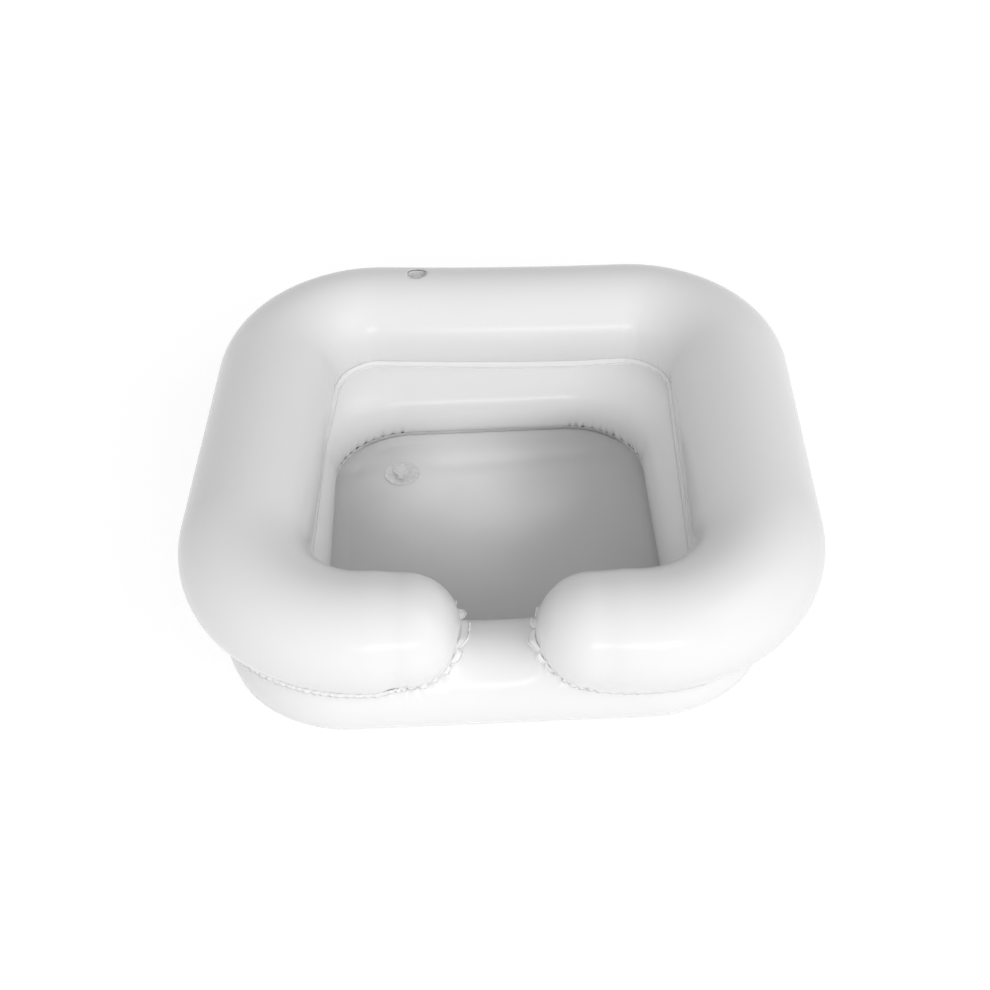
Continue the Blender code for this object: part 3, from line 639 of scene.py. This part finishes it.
def weld_margin(name, root, edge, up, lift, bead):
    """The flat margin of a weld, from its root to the rounded bead along its edge, which rises by lift."""
    rise = up * lift[:, None]
    section = []
    for share in MARGIN_SHARES:
        along = edge - root + rise * 1.5 * sqrt(share)
        along /= np.linalg.norm(along, axis=1)[:, None]
        normal = up - along * (up * along).sum(axis=1)[:, None]
        normal /= np.linalg.norm(normal, axis=1)[:, None]
        section.append((root + (edge - root) * share + rise * share**1.5, normal * MARGIN_THICKNESS / 2))
    rows = [place + half for place, half in section]
    for turn in BEAD_TURNS:
        rows.append(section[-1][0] + (along * cos(turn) + normal * sin(turn)) * bead[:, None])
    rows += [place - half for place, half in section[::-1]]
    count, columns = len(rows), len(root)
    faces = []
    for row in range(count):
        above = (row + 1) % count
        for column in range(columns):
            beside = (column + 1) % columns
            a, b = row * columns, above * columns
            faces.append((a + column, b + column, b + beside, a + beside))
    return build_mesh(name, np.vstack(rows), faces)


def ripples(lengths, whole, period, seed):
    """An uneven wave round a closed weld."""
    draw = np.random.default_rng(seed)
    phase = 2 * pi * lengths / whole
    wander = np.zeros(len(lengths))
    for harmonic in range(3, 40):
        wander += draw.normal() / sqrt(harmonic) * np.sin(harmonic * phase + draw.uniform(0, 2 * pi))
    turns = round(whole / period)
    coarse = 0.75 * np.sin(turns * phase + 1.1 * wander)
    return coarse + 0.35 * np.sin(round(2.3 * turns) * phase - 2 * wander)


def upper_margin(halves, lengths, whole, strength, gathers):
    """The margin of the weld between the chambers, standing out of the crease between them."""
    facing = way_in_plan(halves.facing)
    outward, direction, above = to_lower_section(halves.round_weld)
    slope = (direction * facing).sum(axis=1) * outward
    size = np.hypot(slope, above)
    up_film = np.column_stack([-np.sin(halves.round_foot), np.cos(halves.round_foot)])
    down_film = np.column_stack([above / size, -slope / size])
    middle = up_film + down_film
    middle /= np.linalg.norm(middle, axis=1)[:, None]
    middle += (np.array(LIFTED_WAY) - middle) * halves.lifted[:, None]
    middle /= np.linalg.norm(middle, axis=1)[:, None]
    tilt = (OUTER_TILT * (1 - halves.lifted))[:, None]
    above_middle = np.column_stack([-middle[:, 1], middle[:, 0]])
    middle, above_middle = (
        middle * np.cos(tilt) + above_middle * np.sin(tilt),
        above_middle * np.cos(tilt) - middle * np.sin(tilt),
    )

    def turned(section):
        return np.column_stack([facing * section[:, :1], section[:, 1]])

    drawn = gathers.drawn_in(lengths, np.zeros(len(lengths)))
    weld = halves.in_plane(halves.weld_reach - drawn, halves.weld_height)
    wave = ripples(lengths, whole, MARGIN_RIPPLE, SEED + 1)
    at_end = smooth_round(halves.is_fan * 1.0, 9)
    end_width = np.where(halves.is_left, LEFT_END_WIDTH, RIGHT_END_WIDTH)
    width = WELD_WIDTH + (end_width - WELD_WIDTH) * halves.lifted
    scallop = 1 - END_SCALLOP * (1 - gathers.scalloped(lengths)) * at_end
    width = width * (1 + 0.10 * wave) * scallop - 0.35 * drawn
    curl = gathers.curled(lengths) * strength * 0.55 * width
    lift = width * (0.05 + 0.28 * strength * (1 - halves.lifted)) * wave + curl
    bridged = smooth_round(~halves.is_outer & ~halves.is_fan, 14)[:, None]
    above_weld = (ROOT_ABOVE + (END_ROOT_ABOVE - ROOT_ABOVE) * at_end)[:, None]
    root = weld + turned(up_film) * (above_weld + (BAND_ABOVE - above_weld) * bridged)
    edge = weld + turned(middle) * width[:, None] * (1 - bridged) + turned(down_film) * BAND_BELOW * bridged
    lift = lift * (1 - 0.8 * bridged[:, 0])
    lumps = ripples(lengths, whole, BEAD_LUMP, SEED + 5)
    bead = BEAD * (1 + 0.25 * lumps * (1 - bridged[:, 0]))
    return weld_margin("chamber_weld_margin", root, edge, turned(above_middle), lift, bead)


def lower_film(halves, lengths, gathers, floor_gathers, floor_lengths):
    """The ring's film from the base weld over the top to the floor weld, flat under the upper chamber."""
    line = lower_line()
    angle = np.linspace(WELD_ANGLE, pi - WELD_ANGLE, RING_ROWS)
    points = ring_points(line, angle)
    normal = ring_normals(line, angle).reshape(-1, 3)
    shape = points.shape[:2]

    tree = KDTree(len(halves.round_weld))
    for index, place in enumerate(halves.round_weld):
        tree.insert(place, index)
    tree.balance()
    flat = points.reshape(-1, 3)
    found = [tree.find(place) for place in flat]
    nearest = np.array([index for place, index, distance in found])
    away = np.array([distance for place, index, distance in found])
    hidden = inside_upper(flat, halves.line)
    near = (away < GATHER_LIMIT) & ~hidden
    drawn = np.zeros(len(flat))
    drawn[near] = 0.45 * gathers.drawn_in(lengths[nearest[near]], away[near])
    drawn[near] += 0.5 * gathers.creased(lengths[nearest[near]], 2.5 * away[near])

    from_floor = np.broadcast_to(LOWER_RADIUS * np.abs(angle - angle[-1])[None, :], shape).reshape(-1)
    beside_floor = np.broadcast_to(floor_lengths[:, None], shape).reshape(-1)
    low = from_floor < FLOOR_GATHER_LIMIT
    drawn[low] += floor_gathers.depth_at(beside_floor[low], from_floor[low])
    flat = flat - normal * drawn[:, None]
    flat = flattened(flat, hidden, halves.line)
    pull = (halves.weld - halves.round_weld)[nearest]
    flat += pull * np.exp(-away / PULL_REACH)[:, None]
    return build_mesh("lower_film", flat, ring_faces(len(line), RING_ROWS))


def ring_faces(columns, rows):
    """Quads of a ring of columns, each with its rows from the outside inwards."""
    faces = []
    for column in range(columns):
        beside = (column + 1) % columns
        for row in range(rows - 1):
            a, b = column * rows + row, beside * rows + row
            faces.append((a, b, b + 1, a + 1))
    return faces


def ring_points(line, angle):
    """Points of the lower ring at each place of its middle line and each angle of its section."""
    reach = LOWER_RADIUS * np.cos(angle)[None, :]
    x = line[:, 0][:, None] + np.cos(line[:, 2])[:, None] * reach
    y = line[:, 1][:, None] + np.sin(line[:, 2])[:, None] * reach
    z = np.broadcast_to(LOWER_HEIGHT + LOWER_RADIUS * np.sin(angle)[None, :], x.shape)
    return np.stack([x, y, z], axis=-1)


def ring_edge(line, angle):
    """The line at one angle of the ring's section, all the way round."""
    return ring_points(line, np.array([angle]))[:, 0]


def ring_normals(line, angle):
    x = np.cos(line[:, 2])[:, None] * np.cos(angle)[None, :]
    y = np.sin(line[:, 2])[:, None] * np.cos(angle)[None, :]
    z = np.broadcast_to(np.sin(angle)[None, :], x.shape)
    return np.stack([x, y, z], axis=-1)


def nearest_upper(points, line):
    """Nearest point of the upper chamber's middle line to each point, with the radius there."""
    tree = KDTree(len(line))
    for index, row in enumerate(line):
        tree.insert((row[0], row[1], UPPER_HEIGHT), index)
    tree.balance()
    nearest = np.array([tree.find(point)[1] for point in points])
    places = np.column_stack([line[nearest, 0], line[nearest, 1], np.full(len(points), UPPER_HEIGHT)])
    way = points - places
    return places, line[nearest, 3] - end_fall(line, nearest, way[:, 0], way[:, 1])


def inside_upper(points, line):
    places, radius = nearest_upper(points, line)
    return np.linalg.norm(points - places, axis=1) < radius


def flattened(points, hidden, line):
    """Draws the hidden part of the lower ring to the flat partition between the chambers."""
    outward, direction, above = to_lower_section(points)
    middle = points.copy()
    middle[:, :2] -= direction * outward[:, None]
    middle[:, 2] = LOWER_HEIGHT
    places, radius = nearest_upper(middle, line)
    way = places - middle
    apart = np.linalg.norm(way, axis=1)
    way /= apart[:, None]
    height = (LOWER_RADIUS**2 - radius**2 + apart**2) / (2 * apart)
    past = ((points - middle) * way).sum(axis=1) - height
    return points - way * np.where(hidden & (past > 0), past, 0)[:, None]


def base_film():
    """The film under the lower ring, pressed flat where it lies on the ground."""
    line = lower_line()
    angle = np.linspace(-pi - WELD_ANGLE, WELD_ANGLE, BASE_ROWS)
    points = ring_points(line, angle).reshape(-1, 3)
    points[:, 2] = np.maximum(points[:, 2], 0)
    return build_mesh("base_film_skin", points, ring_faces(len(line), BASE_ROWS))


def floor_sheet(gathers, lengths):
    """The floor inside its weld, with the slack of a film that nothing holds flat."""
    line = lower_line()
    edge = ring_edge(line, pi - WELD_ANGLE)
    centre = edge.mean(axis=0)
    share = 1 - (np.arange(FLOOR_ROWS) / (FLOOR_ROWS - 1)) ** FLOOR_GRADING * FLOOR_INNERMOST
    points = centre + (edge - centre)[None, :, :] * share[:, None, None]
    flat = points.reshape(-1, 3)
    from_edge = np.linalg.norm(flat - np.tile(edge, (FLOOR_ROWS, 1)), axis=1)
    along = np.tile(lengths, FLOOR_ROWS)
    near = from_edge < FLOOR_GATHER_LIMIT
    pucker = np.zeros(len(flat))
    pucker[near] = gathers.creased(along[near], from_edge[near])
    slack = floor_slack(flat)
    at_back = ease((np.tile(np.sin(line[:, 2]), FLOOR_ROWS) - 0.55) / 0.35)
    dip = BACK_DIP * from_edge / DIP_REACH * np.exp(1 - from_edge / DIP_REACH) * at_back
    from_drain = np.hypot(flat[:, 0] - DRAIN_PLACE[0], flat[:, 1] - DRAIN_PLACE[1])
    clear = np.clip((from_drain - DRAIN_FLAT) / DRAIN_CLEAR, 0, 1)
    slack *= np.clip(from_edge / SLACK_START, 0, 1)
    flat[:, 2] = FLOOR_HEIGHT - (pucker * 0.6 + dip + slack) * clear
    flat = np.vstack([flat, flat[-len(edge) :].mean(axis=0)])
    return build_mesh("floor_sheet", flat, sheet_faces(FLOOR_ROWS, len(edge)))


def floor_slack(points):
    """Depth of the floor's soft hollows and folds below the weld's level."""
    x, y = points[:, 0], points[:, 1]
    across, back = (x - HOLLOW_PLACE[0]) / HOLLOW_REACH, (y - HOLLOW_PLACE[1]) / HOLLOW_REACH
    hollow = HOLLOW_DEPTH * np.exp(-(across**2) - back**2)
    from_fold = (y - FOLD_Y - FOLD_SLOPE * (x + 0.05)) / FOLD_WIDTH
    fold = FOLD_DEPTH * np.exp(-(from_fold**2)) * np.clip((0.13 - x) / 0.10, 0, 1)
    ripple = RIPPLE_DEPTH * (1 + np.sin(27 * x + 9 * y + 0.6) * np.sin(17 * y - 6 * x + 1.9))
    return hollow + fold + ripple


def linear(code):
    """An sRGB hex colour as linear red, green, blue and full opacity."""
    channels = [int(code[i : i + 2], 16) / 255 for i in (1, 3, 5)]
    return [c / 12.92 if c <= 0.04045 else ((c + 0.055) / 1.055) ** 2.4 for c in channels] + [1.0]


def add_node(tree, kind, settings=None, links=None):
    """Adds a node with its settings, socket values and links, each by name or number."""
    node = tree.nodes.new(kind)
    for name, value in (settings or {}).items():
        if isinstance(name, int) or (name in node.inputs and not hasattr(type(node), name)):
            node.inputs[name].default_value = value
        else:
            setattr(node, name, value)
    for name, source in (links or {}).items():
        tree.links.new(source, node.inputs[name])
    return node


def new_material(name):
    """A new material whose node tree is empty."""
    made = bpy.data.materials.new(name)
    made.use_nodes = True
    tree = made.node_tree
    tree.nodes.clear()
    return made, tree


def film_surface(tree, place, colour, roughness, drift, wrinkle_mm, wrinkle_depth_mm, fine_mm=None):
    """A film's surface in its colour: broad wrinkles, a gloss that drifts with them and a fine grain."""
    settings = {"Scale": 1000 / wrinkle_mm, "Detail": 2.0, "Roughness": 0.45}
    wrinkle = add_node(tree, "ShaderNodeTexNoise", settings, {"Vector": place})
    # The roughness stays on one side of about 0.27, where the renderer changes the room that a reflection
    # shows: a patch of film that crossed it would have a hard edge
    ends = {"To Min": roughness - drift, "To Max": roughness + drift}
    gloss = add_node(tree, "ShaderNodeMapRange", ends, {"Value": wrinkle.outputs["Fac"]})
    depth = {"Strength": 0.5, "Distance": wrinkle_depth_mm / 1000}
    bump = add_node(tree, "ShaderNodeBump", depth, {"Height": wrinkle.outputs["Fac"]})
    if fine_mm:
        # The grain that the rollers leave is finer than this; it is drawn coarser than it is
        settings = {"Scale": 1000 / fine_mm, "Detail": 2.0, "Roughness": 0.6}
        fine = add_node(tree, "ShaderNodeTexNoise", settings, {"Vector": place})
        links = {"Height": fine.outputs["Fac"], "Normal": bump.outputs["Normal"]}
        bump = add_node(tree, "ShaderNodeBump", {"Strength": 0.12, "Distance": 0.00003}, links)
    links = {"Base Color": colour, "Roughness": gloss.outputs["Result"], "Normal": bump.outputs["Normal"]}
    shader = add_node(tree, "ShaderNodeBsdfPrincipled", {"IOR": VINYL_IOR}, links)
    add_node(tree, "ShaderNodeOutputMaterial", {}, {"Surface": shader.outputs["BSDF"]})


def calendered_vinyl(name, light, dark, roughness, fine_mm, wrinkle_mm, wrinkle_depth_mm, cloud_mm):
    """PVC film rolled between hot polished rollers: even and glossy, with a faint cloudiness."""
    # What it gives the eye: soft highlights that waver a little, on a white that is nowhere quite the same
    made, tree = new_material(name)
    place = add_node(tree, "ShaderNodeTexCoord").outputs["Object"]
    settings = {"Scale": 1000 / cloud_mm, "Detail": 3.0, "Roughness": 0.5}
    cloud = add_node(tree, "ShaderNodeTexNoise", settings, {"Vector": place})
    tints = {"data_type": "RGBA", 6: linear(light), 7: linear(dark)}
    colour = add_node(tree, "ShaderNodeMix", tints, {0: cloud.outputs["Fac"]}).outputs[2]
    film_surface(tree, place, colour, roughness, GLOSS_DRIFT, wrinkle_mm, wrinkle_depth_mm, fine_mm)
    return made


def floor_vinyl_and_painted_light():
    """Thin grey-white calendered PVC film: glossy, with a soft-edged pool of painted light in its middle."""
    # What it gives the eye: a grey sheet with a pale, soft-edged middle of painted light and wide, weak
    # highlights
    made, tree = new_material("thin_greyish_floor_vinyl_and_painted_light")
    place = add_node(tree, "ShaderNodeTexCoord").outputs["Object"]
    settings = {"Scale": 1000 / PAINTED_LIGHT_SWAY_MM, "Detail": 1.0}
    drift = add_node(tree, "ShaderNodeTexNoise", settings, {"Vector": place})
    sway = {"operation": "MULTIPLY_ADD", 1: PAINTED_LIGHT_SWAY}
    shifted = add_node(tree, "ShaderNodeVectorMath", sway, {0: drift.outputs["Color"], 2: place})
    painted_light_frame = {"vector_type": "TEXTURE", "Location": PAINTED_LIGHT_PLACE, "Scale": PAINTED_LIGHT_SIZE}
    painted_light_frame["Rotation"] = (0, 0, PAINTED_LIGHT_TURN)
    around = add_node(tree, "ShaderNodeMapping", painted_light_frame, {"Vector": shifted.outputs[0]})
    ball = {"gradient_type": "SPHERICAL"}
    patch = add_node(tree, "ShaderNodeTexGradient", ball, {"Vector": around.outputs[0]})
    smooth = {"interpolation_type": "SMOOTHSTEP"}
    blurred = add_node(tree, "ShaderNodeMapRange", smooth, {"Value": patch.outputs["Fac"]})
    # The pale #F2F2F2 towards the patch's middle is painted light, not a colour of the film
    tints = {"data_type": "RGBA", 6: linear("#BABABA"), 7: linear("#F2F2F2")}
    colour = add_node(tree, "ShaderNodeMix", tints, {0: blurred.outputs["Result"]}).outputs[2]
    film_surface(tree, place, colour, FLOOR_ROUGHNESS, FLOOR_GLOSS_DRIFT, 40, 0.1)
    return made


def moulded_clear_vinyl(name, tint, roughness, transmission):
    """Injection-moulded clear PVC: a little smoky, with bright edges and soft ripples from the mould."""
    # What it gives the eye: a pale milky fitting whose highlights break up a little
    made, tree = new_material(name)
    place = add_node(tree, "ShaderNodeTexCoord").outputs["Object"]
    settings = {"Scale": 1000 / MOULD_RIPPLE_MM, "Detail": 2.0}
    ripple = add_node(tree, "ShaderNodeTexNoise", settings, {"Vector": place})
    tints = {"data_type": "RGBA", 6: linear(tint), 7: linear("#FFFFFF")}
    colour = add_node(tree, "ShaderNodeMix", tints, {0: ripple.outputs["Fac"]})
    depth = {"Strength": 0.4, "Distance": 0.00012}
    bump = add_node(tree, "ShaderNodeBump", depth, {"Height": ripple.outputs["Fac"]})
    settings = {"IOR": VINYL_IOR, "Roughness": roughness, "Transmission Weight": transmission}
    links = {"Base Color": colour.outputs[2], "Normal": bump.outputs["Normal"]}
    shader = add_node(tree, "ShaderNodeBsdfPrincipled", settings, links)
    add_node(tree, "ShaderNodeOutputMaterial", {}, {"Surface": shader.outputs["BSDF"]})
    return made


def dress(piece, material, body, node):
    """Gives a piece its material and the body it rides on, and hides the CAD node it stands for, if any."""
    piece.data.materials.append(material)
    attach(piece, body)
    if node:
        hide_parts(node)


def upper_gathers(halves, lengths, whole, strength):
    """The upper film's gathers, with those that the photograph shows at the arms' ends set one by one."""
    left_start = lengths[halves.is_fan & halves.is_left][0]
    right_start = lengths[halves.is_fan & ~halves.is_left][0]
    stretches = ((left_start, LEFT_END_GATHERS), (right_start, RIGHT_END_GATHERS))
    crease = CREASE + END_CREASE * beside_end(halves, CREASE_FADE)
    spacing, reach = gather_spacing(halves), crease_reach(halves)
    sizes = (NOTCH, crease, CREASE_WIDTH, reach)
    return Gathers(lengths, whole, strength, spacing, *sizes, SEED, stretches)


def lower_gathers(ring, lengths, whole, turning):
    """The gathers along the floor's weld, closest together and deepest in its corners."""
    spacing = np.full(len(ring), WIDE_SPACING)
    crease = np.full(len(ring), FLOOR_CREASE)
    reach = np.full(len(ring), FLOOR_CREASE_REACH)
    strength = 0.10 + 0.75 * turning
    sizes = (FLOOR_NOTCH, crease, FLOOR_CREASE_WIDTH, reach)
    return Gathers(lengths, whole, strength, spacing, *sizes, SEED + 2)


def floor_margin(ring, edge, lengths, whole, turning):
    """The narrow margin of the floor's weld, narrowest at the back, where the film hides it."""
    facing = way_in_plan(ring[:, 2])
    inward = np.column_stack([-facing, np.full(len(ring), FLOOR_MARGIN_TILT)])
    inward /= np.linalg.norm(inward, axis=1)[:, None]
    upward = np.column_stack([facing * FLOOR_MARGIN_TILT, np.ones(len(ring))])
    at_back = ease((facing[:, 1] - 0.45) / 0.40)
    width = FLOOR_WELD_WIDTH * (1 - 0.95 * at_back)
    lift = width * (0.1 + 0.3 * turning) * ripples(lengths, whole, FLOOR_MARGIN_RIPPLE, SEED + 3)
    bead = SMALL_BEAD * (1 - 0.8 * at_back)
    return weld_margin("floor_weld_margin", edge, edge + inward * width[:, None], upward, lift, bead)


def base_margin(ring, turning):
    """The margin of the base's weld, a band that lies on the film."""
    facing = way_in_plan(ring[:, 2])
    edge = ring_edge(ring, WELD_ANGLE)
    lengths, whole = closed_lengths(edge)
    outward = np.column_stack([facing * cos(WELD_ANGLE), np.full(len(ring), sin(WELD_ANGLE))])
    upward = np.column_stack([-facing * sin(WELD_ANGLE), np.full(len(ring), cos(WELD_ANGLE))])
    root = edge + upward * BASE_BAND_ABOVE
    rim = edge - upward * BASE_BAND_BELOW + outward * BASE_BAND_RISE
    lift = BASE_BAND_RISE * (0.3 + 0.4 * turning) * ripples(lengths, whole, BASE_MARGIN_RIPPLE, SEED + 4)
    return weld_margin("base_weld_margin", root, rim, outward, lift, np.full(len(ring), SMALL_BEAD))


def make_basin():
    """The four films and the margins of their three welds."""
    halves = UpperHalves()
    lengths, whole = closed_lengths(halves.weld)
    strength = upper_strength(halves)
    gathers = upper_gathers(halves, lengths, whole, strength)
    film = upper_film(halves, lengths, gathers)
    thicken(film, FILM)
    chamber_weld = upper_margin(halves, lengths, whole, strength, gathers)

    ring = lower_line()
    floor_edge = ring_edge(ring, pi - WELD_ANGLE)
    floor_lengths, floor_whole = closed_lengths(floor_edge)
    in_corner = np.abs(np.sin(2 * (ring[:, 2] - LOWER_TURN))) > 1e-6
    turning = smooth_round(in_corner * 1.0, 12)
    floor_gathers = lower_gathers(ring, floor_lengths, floor_whole, turning)
    lower = lower_film(halves, lengths, gathers, floor_gathers, floor_lengths)
    thicken(lower, FILM)
    base = base_film()
    thicken(base, FILM)
    floor = floor_sheet(floor_gathers, floor_lengths)
    floor_weld = floor_margin(ring, floor_edge, floor_lengths, floor_whole, turning)
    base_weld = base_margin(ring, turning)

    white = calendered_vinyl("white_calendered_vinyl", "#EFEFEF", "#ECECEC", 0.21, 3.0, 42, 0.08, 120)
    # The welds' margins are a shade whiter than the film: partly the welded vinyl's own white, partly a
    # painted highlight that brightens the weld's line
    weld_white_and_painted_highlight = calendered_vinyl("weld_vinyl_with_painted_highlight", "#F2F2F2", "#ECECEC", 0.20, 2.5, 6.0, 0.10, 30)
    dress(film, white, "basin", "upper_chamber_film")
    dress(lower, white, "basin", "lower_chamber_film")
    dress(base, white, "basin", "base_film")
    dress(floor, floor_vinyl_and_painted_light(), "basin", "floor_film")
    for margin in (chamber_weld, floor_weld, base_weld):
        dress(margin, weld_white_and_painted_highlight, "basin", None)


def make_fittings():
    """The moulded fittings keep their CAD solids and get their looks."""
    clear = moulded_clear_vinyl("moulded_clear_vinyl", "#D8D8D8", 0.18, 0.15)
    soft = moulded_clear_vinyl("soft_clear_vinyl", "#E8E8E8", 0.24, 0.15)
    for name in ("valve_flange", "valve_stem", "valve_cap", "drain_body", "drain_plug"):
        repaint(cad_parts[name], clear)
    for name in ("valve_cap_strap", "valve_flap", "drain_plug_strap"):
        repaint(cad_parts[name], soft)
    make_well(soft)


def make_well(material):
    """The soft wall of the valve's well, its tall edges cut finely."""
    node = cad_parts["valve_web"]
    points = [node.matrix_world @ v.co for v in node.data.vertices]
    well = build_mesh("valve_well", points, [tuple(face.vertices) for face in node.data.polygons], False)
    place, axis = Vector(VALVE_PLACE), Vector(VALVE_AXIS)
    shape = bmesh.new()
    shape.from_mesh(well.data)
    bmesh.ops.remove_doubles(shape, verts=shape.verts, dist=SAME_POINT)
    tall = [e for e in shape.edges if abs((e.verts[0].co - e.verts[1].co).dot(axis)) > WELL_STEP]
    bmesh.ops.subdivide_edges(shape, edges=tall, cuts=WELL_CUTS, use_grid_fill=True)
    shape.to_mesh(well.data)
    shape.free()
    well.data.materials.append(material)
    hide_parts("valve_web")
    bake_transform(well)


def repaint(piece, material):
    """Gives a CAD piece a material, in place of those in its slots."""
    for slot in piece.material_slots:
        slot.material = material
    if not piece.material_slots:
        piece.data.materials.append(material)


def sees_backdrop(tree):
    """1 for a ray that looks at the backdrop straight, in a gloss or through clear vinyl."""
    path = add_node(tree, "ShaderNodeLightPath")
    either = {"operation": "MAXIMUM"}
    rays = {0: path.outputs["Is Camera Ray"], 1: path.outputs["Is Glossy Ray"]}
    direct = add_node(tree, "ShaderNodeMath", either, rays)
    rays = {0: direct.outputs[0], 1: path.outputs["Is Transmission Ray"]}
    return add_node(tree, "ShaderNodeMath", either, rays).outputs[0]


def make_stage():
    """A plain white floor, white to the camera, that still shows the basin's shadow."""
    made, tree = new_material("white_studio_floor")
    shown = add_node(tree, "ShaderNodeEmission", {"Color": linear("#FFFFFF"), "Strength": SEEN_LEVEL})
    matt = add_node(tree, "ShaderNodeBsdfDiffuse", {"Color": linear("#9A9A9A")})
    both = add_node(tree, "ShaderNodeAddShader", {}, {0: shown.outputs[0], 1: matt.outputs[0]})
    plain = add_node(tree, "ShaderNodeBsdfDiffuse", {"Color": linear("#F4F4F4")})
    shaders = {0: sees_backdrop(tree), 1: plain.outputs[0], 2: both.outputs[0]}
    mix = add_node(tree, "ShaderNodeMixShader", {}, shaders)
    add_node(tree, "ShaderNodeOutputMaterial", {}, {"Surface": mix.outputs[0]})
    side = STAGE_HALF
    corners = [(-side, -side, 0), (side, -side, 0), (side, side, 0), (-side, side, 0)]
    floor = build_mesh("studio_floor", corners, [(0, 1, 2, 3)], False)
    floor.data.materials.append(made)


def make_world():
    """White where the camera looks straight at it; to the basin an even room with a broad bright front."""
    world = bpy.data.worlds.new("studio")
    bpy.context.scene.world = world
    world.use_nodes = True
    tree = world.node_tree
    tree.nodes.clear()
    way = add_node(tree, "ShaderNodeTexCoord").outputs["Generated"]
    facing = add_node(tree, "ShaderNodeVectorMath", {"operation": "DOT_PRODUCT", 1: FRONT_WAY}, {0: way})
    ends = {"To Min": ROOM_LEVEL, "To Max": ROOM_LEVEL + FRONT_LEVEL}
    level = add_node(tree, "ShaderNodeMapRange", ends, {"Value": facing.outputs["Value"]})
    white = {"Color": linear("#FFFFFF")}
    seen = add_node(tree, "ShaderNodeBackground", {**white, "Strength": 1.0})
    lit = add_node(tree, "ShaderNodeBackground", white, {"Strength": level.outputs["Result"]})
    shaders = {0: sees_backdrop(tree), 1: lit.outputs[0], 2: seen.outputs[0]}
    mix = add_node(tree, "ShaderNodeMixShader", {}, shaders)
    add_node(tree, "ShaderNodeOutputWorld", {}, {"Surface": mix.outputs[0]})


def soft_box(name, place, width, height, power):
    """A rectangular lamp, in metres and watts, turned to the basin."""
    lamp = bpy.data.lights.new(name, "AREA")
    lamp.shape = "RECTANGLE"
    lamp.size = width
    lamp.size_y = height
    lamp.energy = power
    made = bpy.data.objects.new(name, lamp)
    bpy.context.scene.collection.objects.link(made)
    made.location = place
    way = Vector(LIT_SPOT) - made.location
    made.rotation_euler = way.to_track_quat("-Z", "Y").to_euler()


def make_lights():
    """A long strip in front, which draws the highlights along the tubes, and a big soft box at the right."""
    soft_box("front_strip", (0.75, -4.7, 1.55), 2.6, 0.16, 16)
    soft_box("right_high", (3.6, -1.4, 3.3), 3.0, 3.0, 18)


def make_camera():
    """The photograph's view: 42 degrees down, turned and rolled a little."""
    yaw, down, roll = CAMERA_YAW, CAMERA_DOWN, CAMERA_ROLL
    right = np.array([cos(yaw), -sin(yaw), 0])
    up = np.array([sin(yaw) * sin(down), cos(yaw) * sin(down), cos(down)])
    forward = np.array([sin(yaw) * cos(down), cos(yaw) * cos(down), -sin(down)])
    right, up = cos(roll) * right - sin(roll) * up, sin(roll) * right + cos(roll) * up
    data = bpy.data.cameras.new("camera")
    data.lens = CAMERA_LENS
    data.sensor_width = CAMERA_SENSOR
    made = bpy.data.objects.new("camera", data)
    bpy.context.scene.collection.objects.link(made)
    turn = Matrix((right, up, -forward)).transposed().to_4x4()
    turn.translation = CAMERA_PLACE
    made.matrix_world = turn
    bpy.context.scene.camera = made


make_basin()
make_fittings()
make_stage()
make_world()
make_lights()
make_camera()
bpy.context.scene.view_settings.view_transform = "Standard"
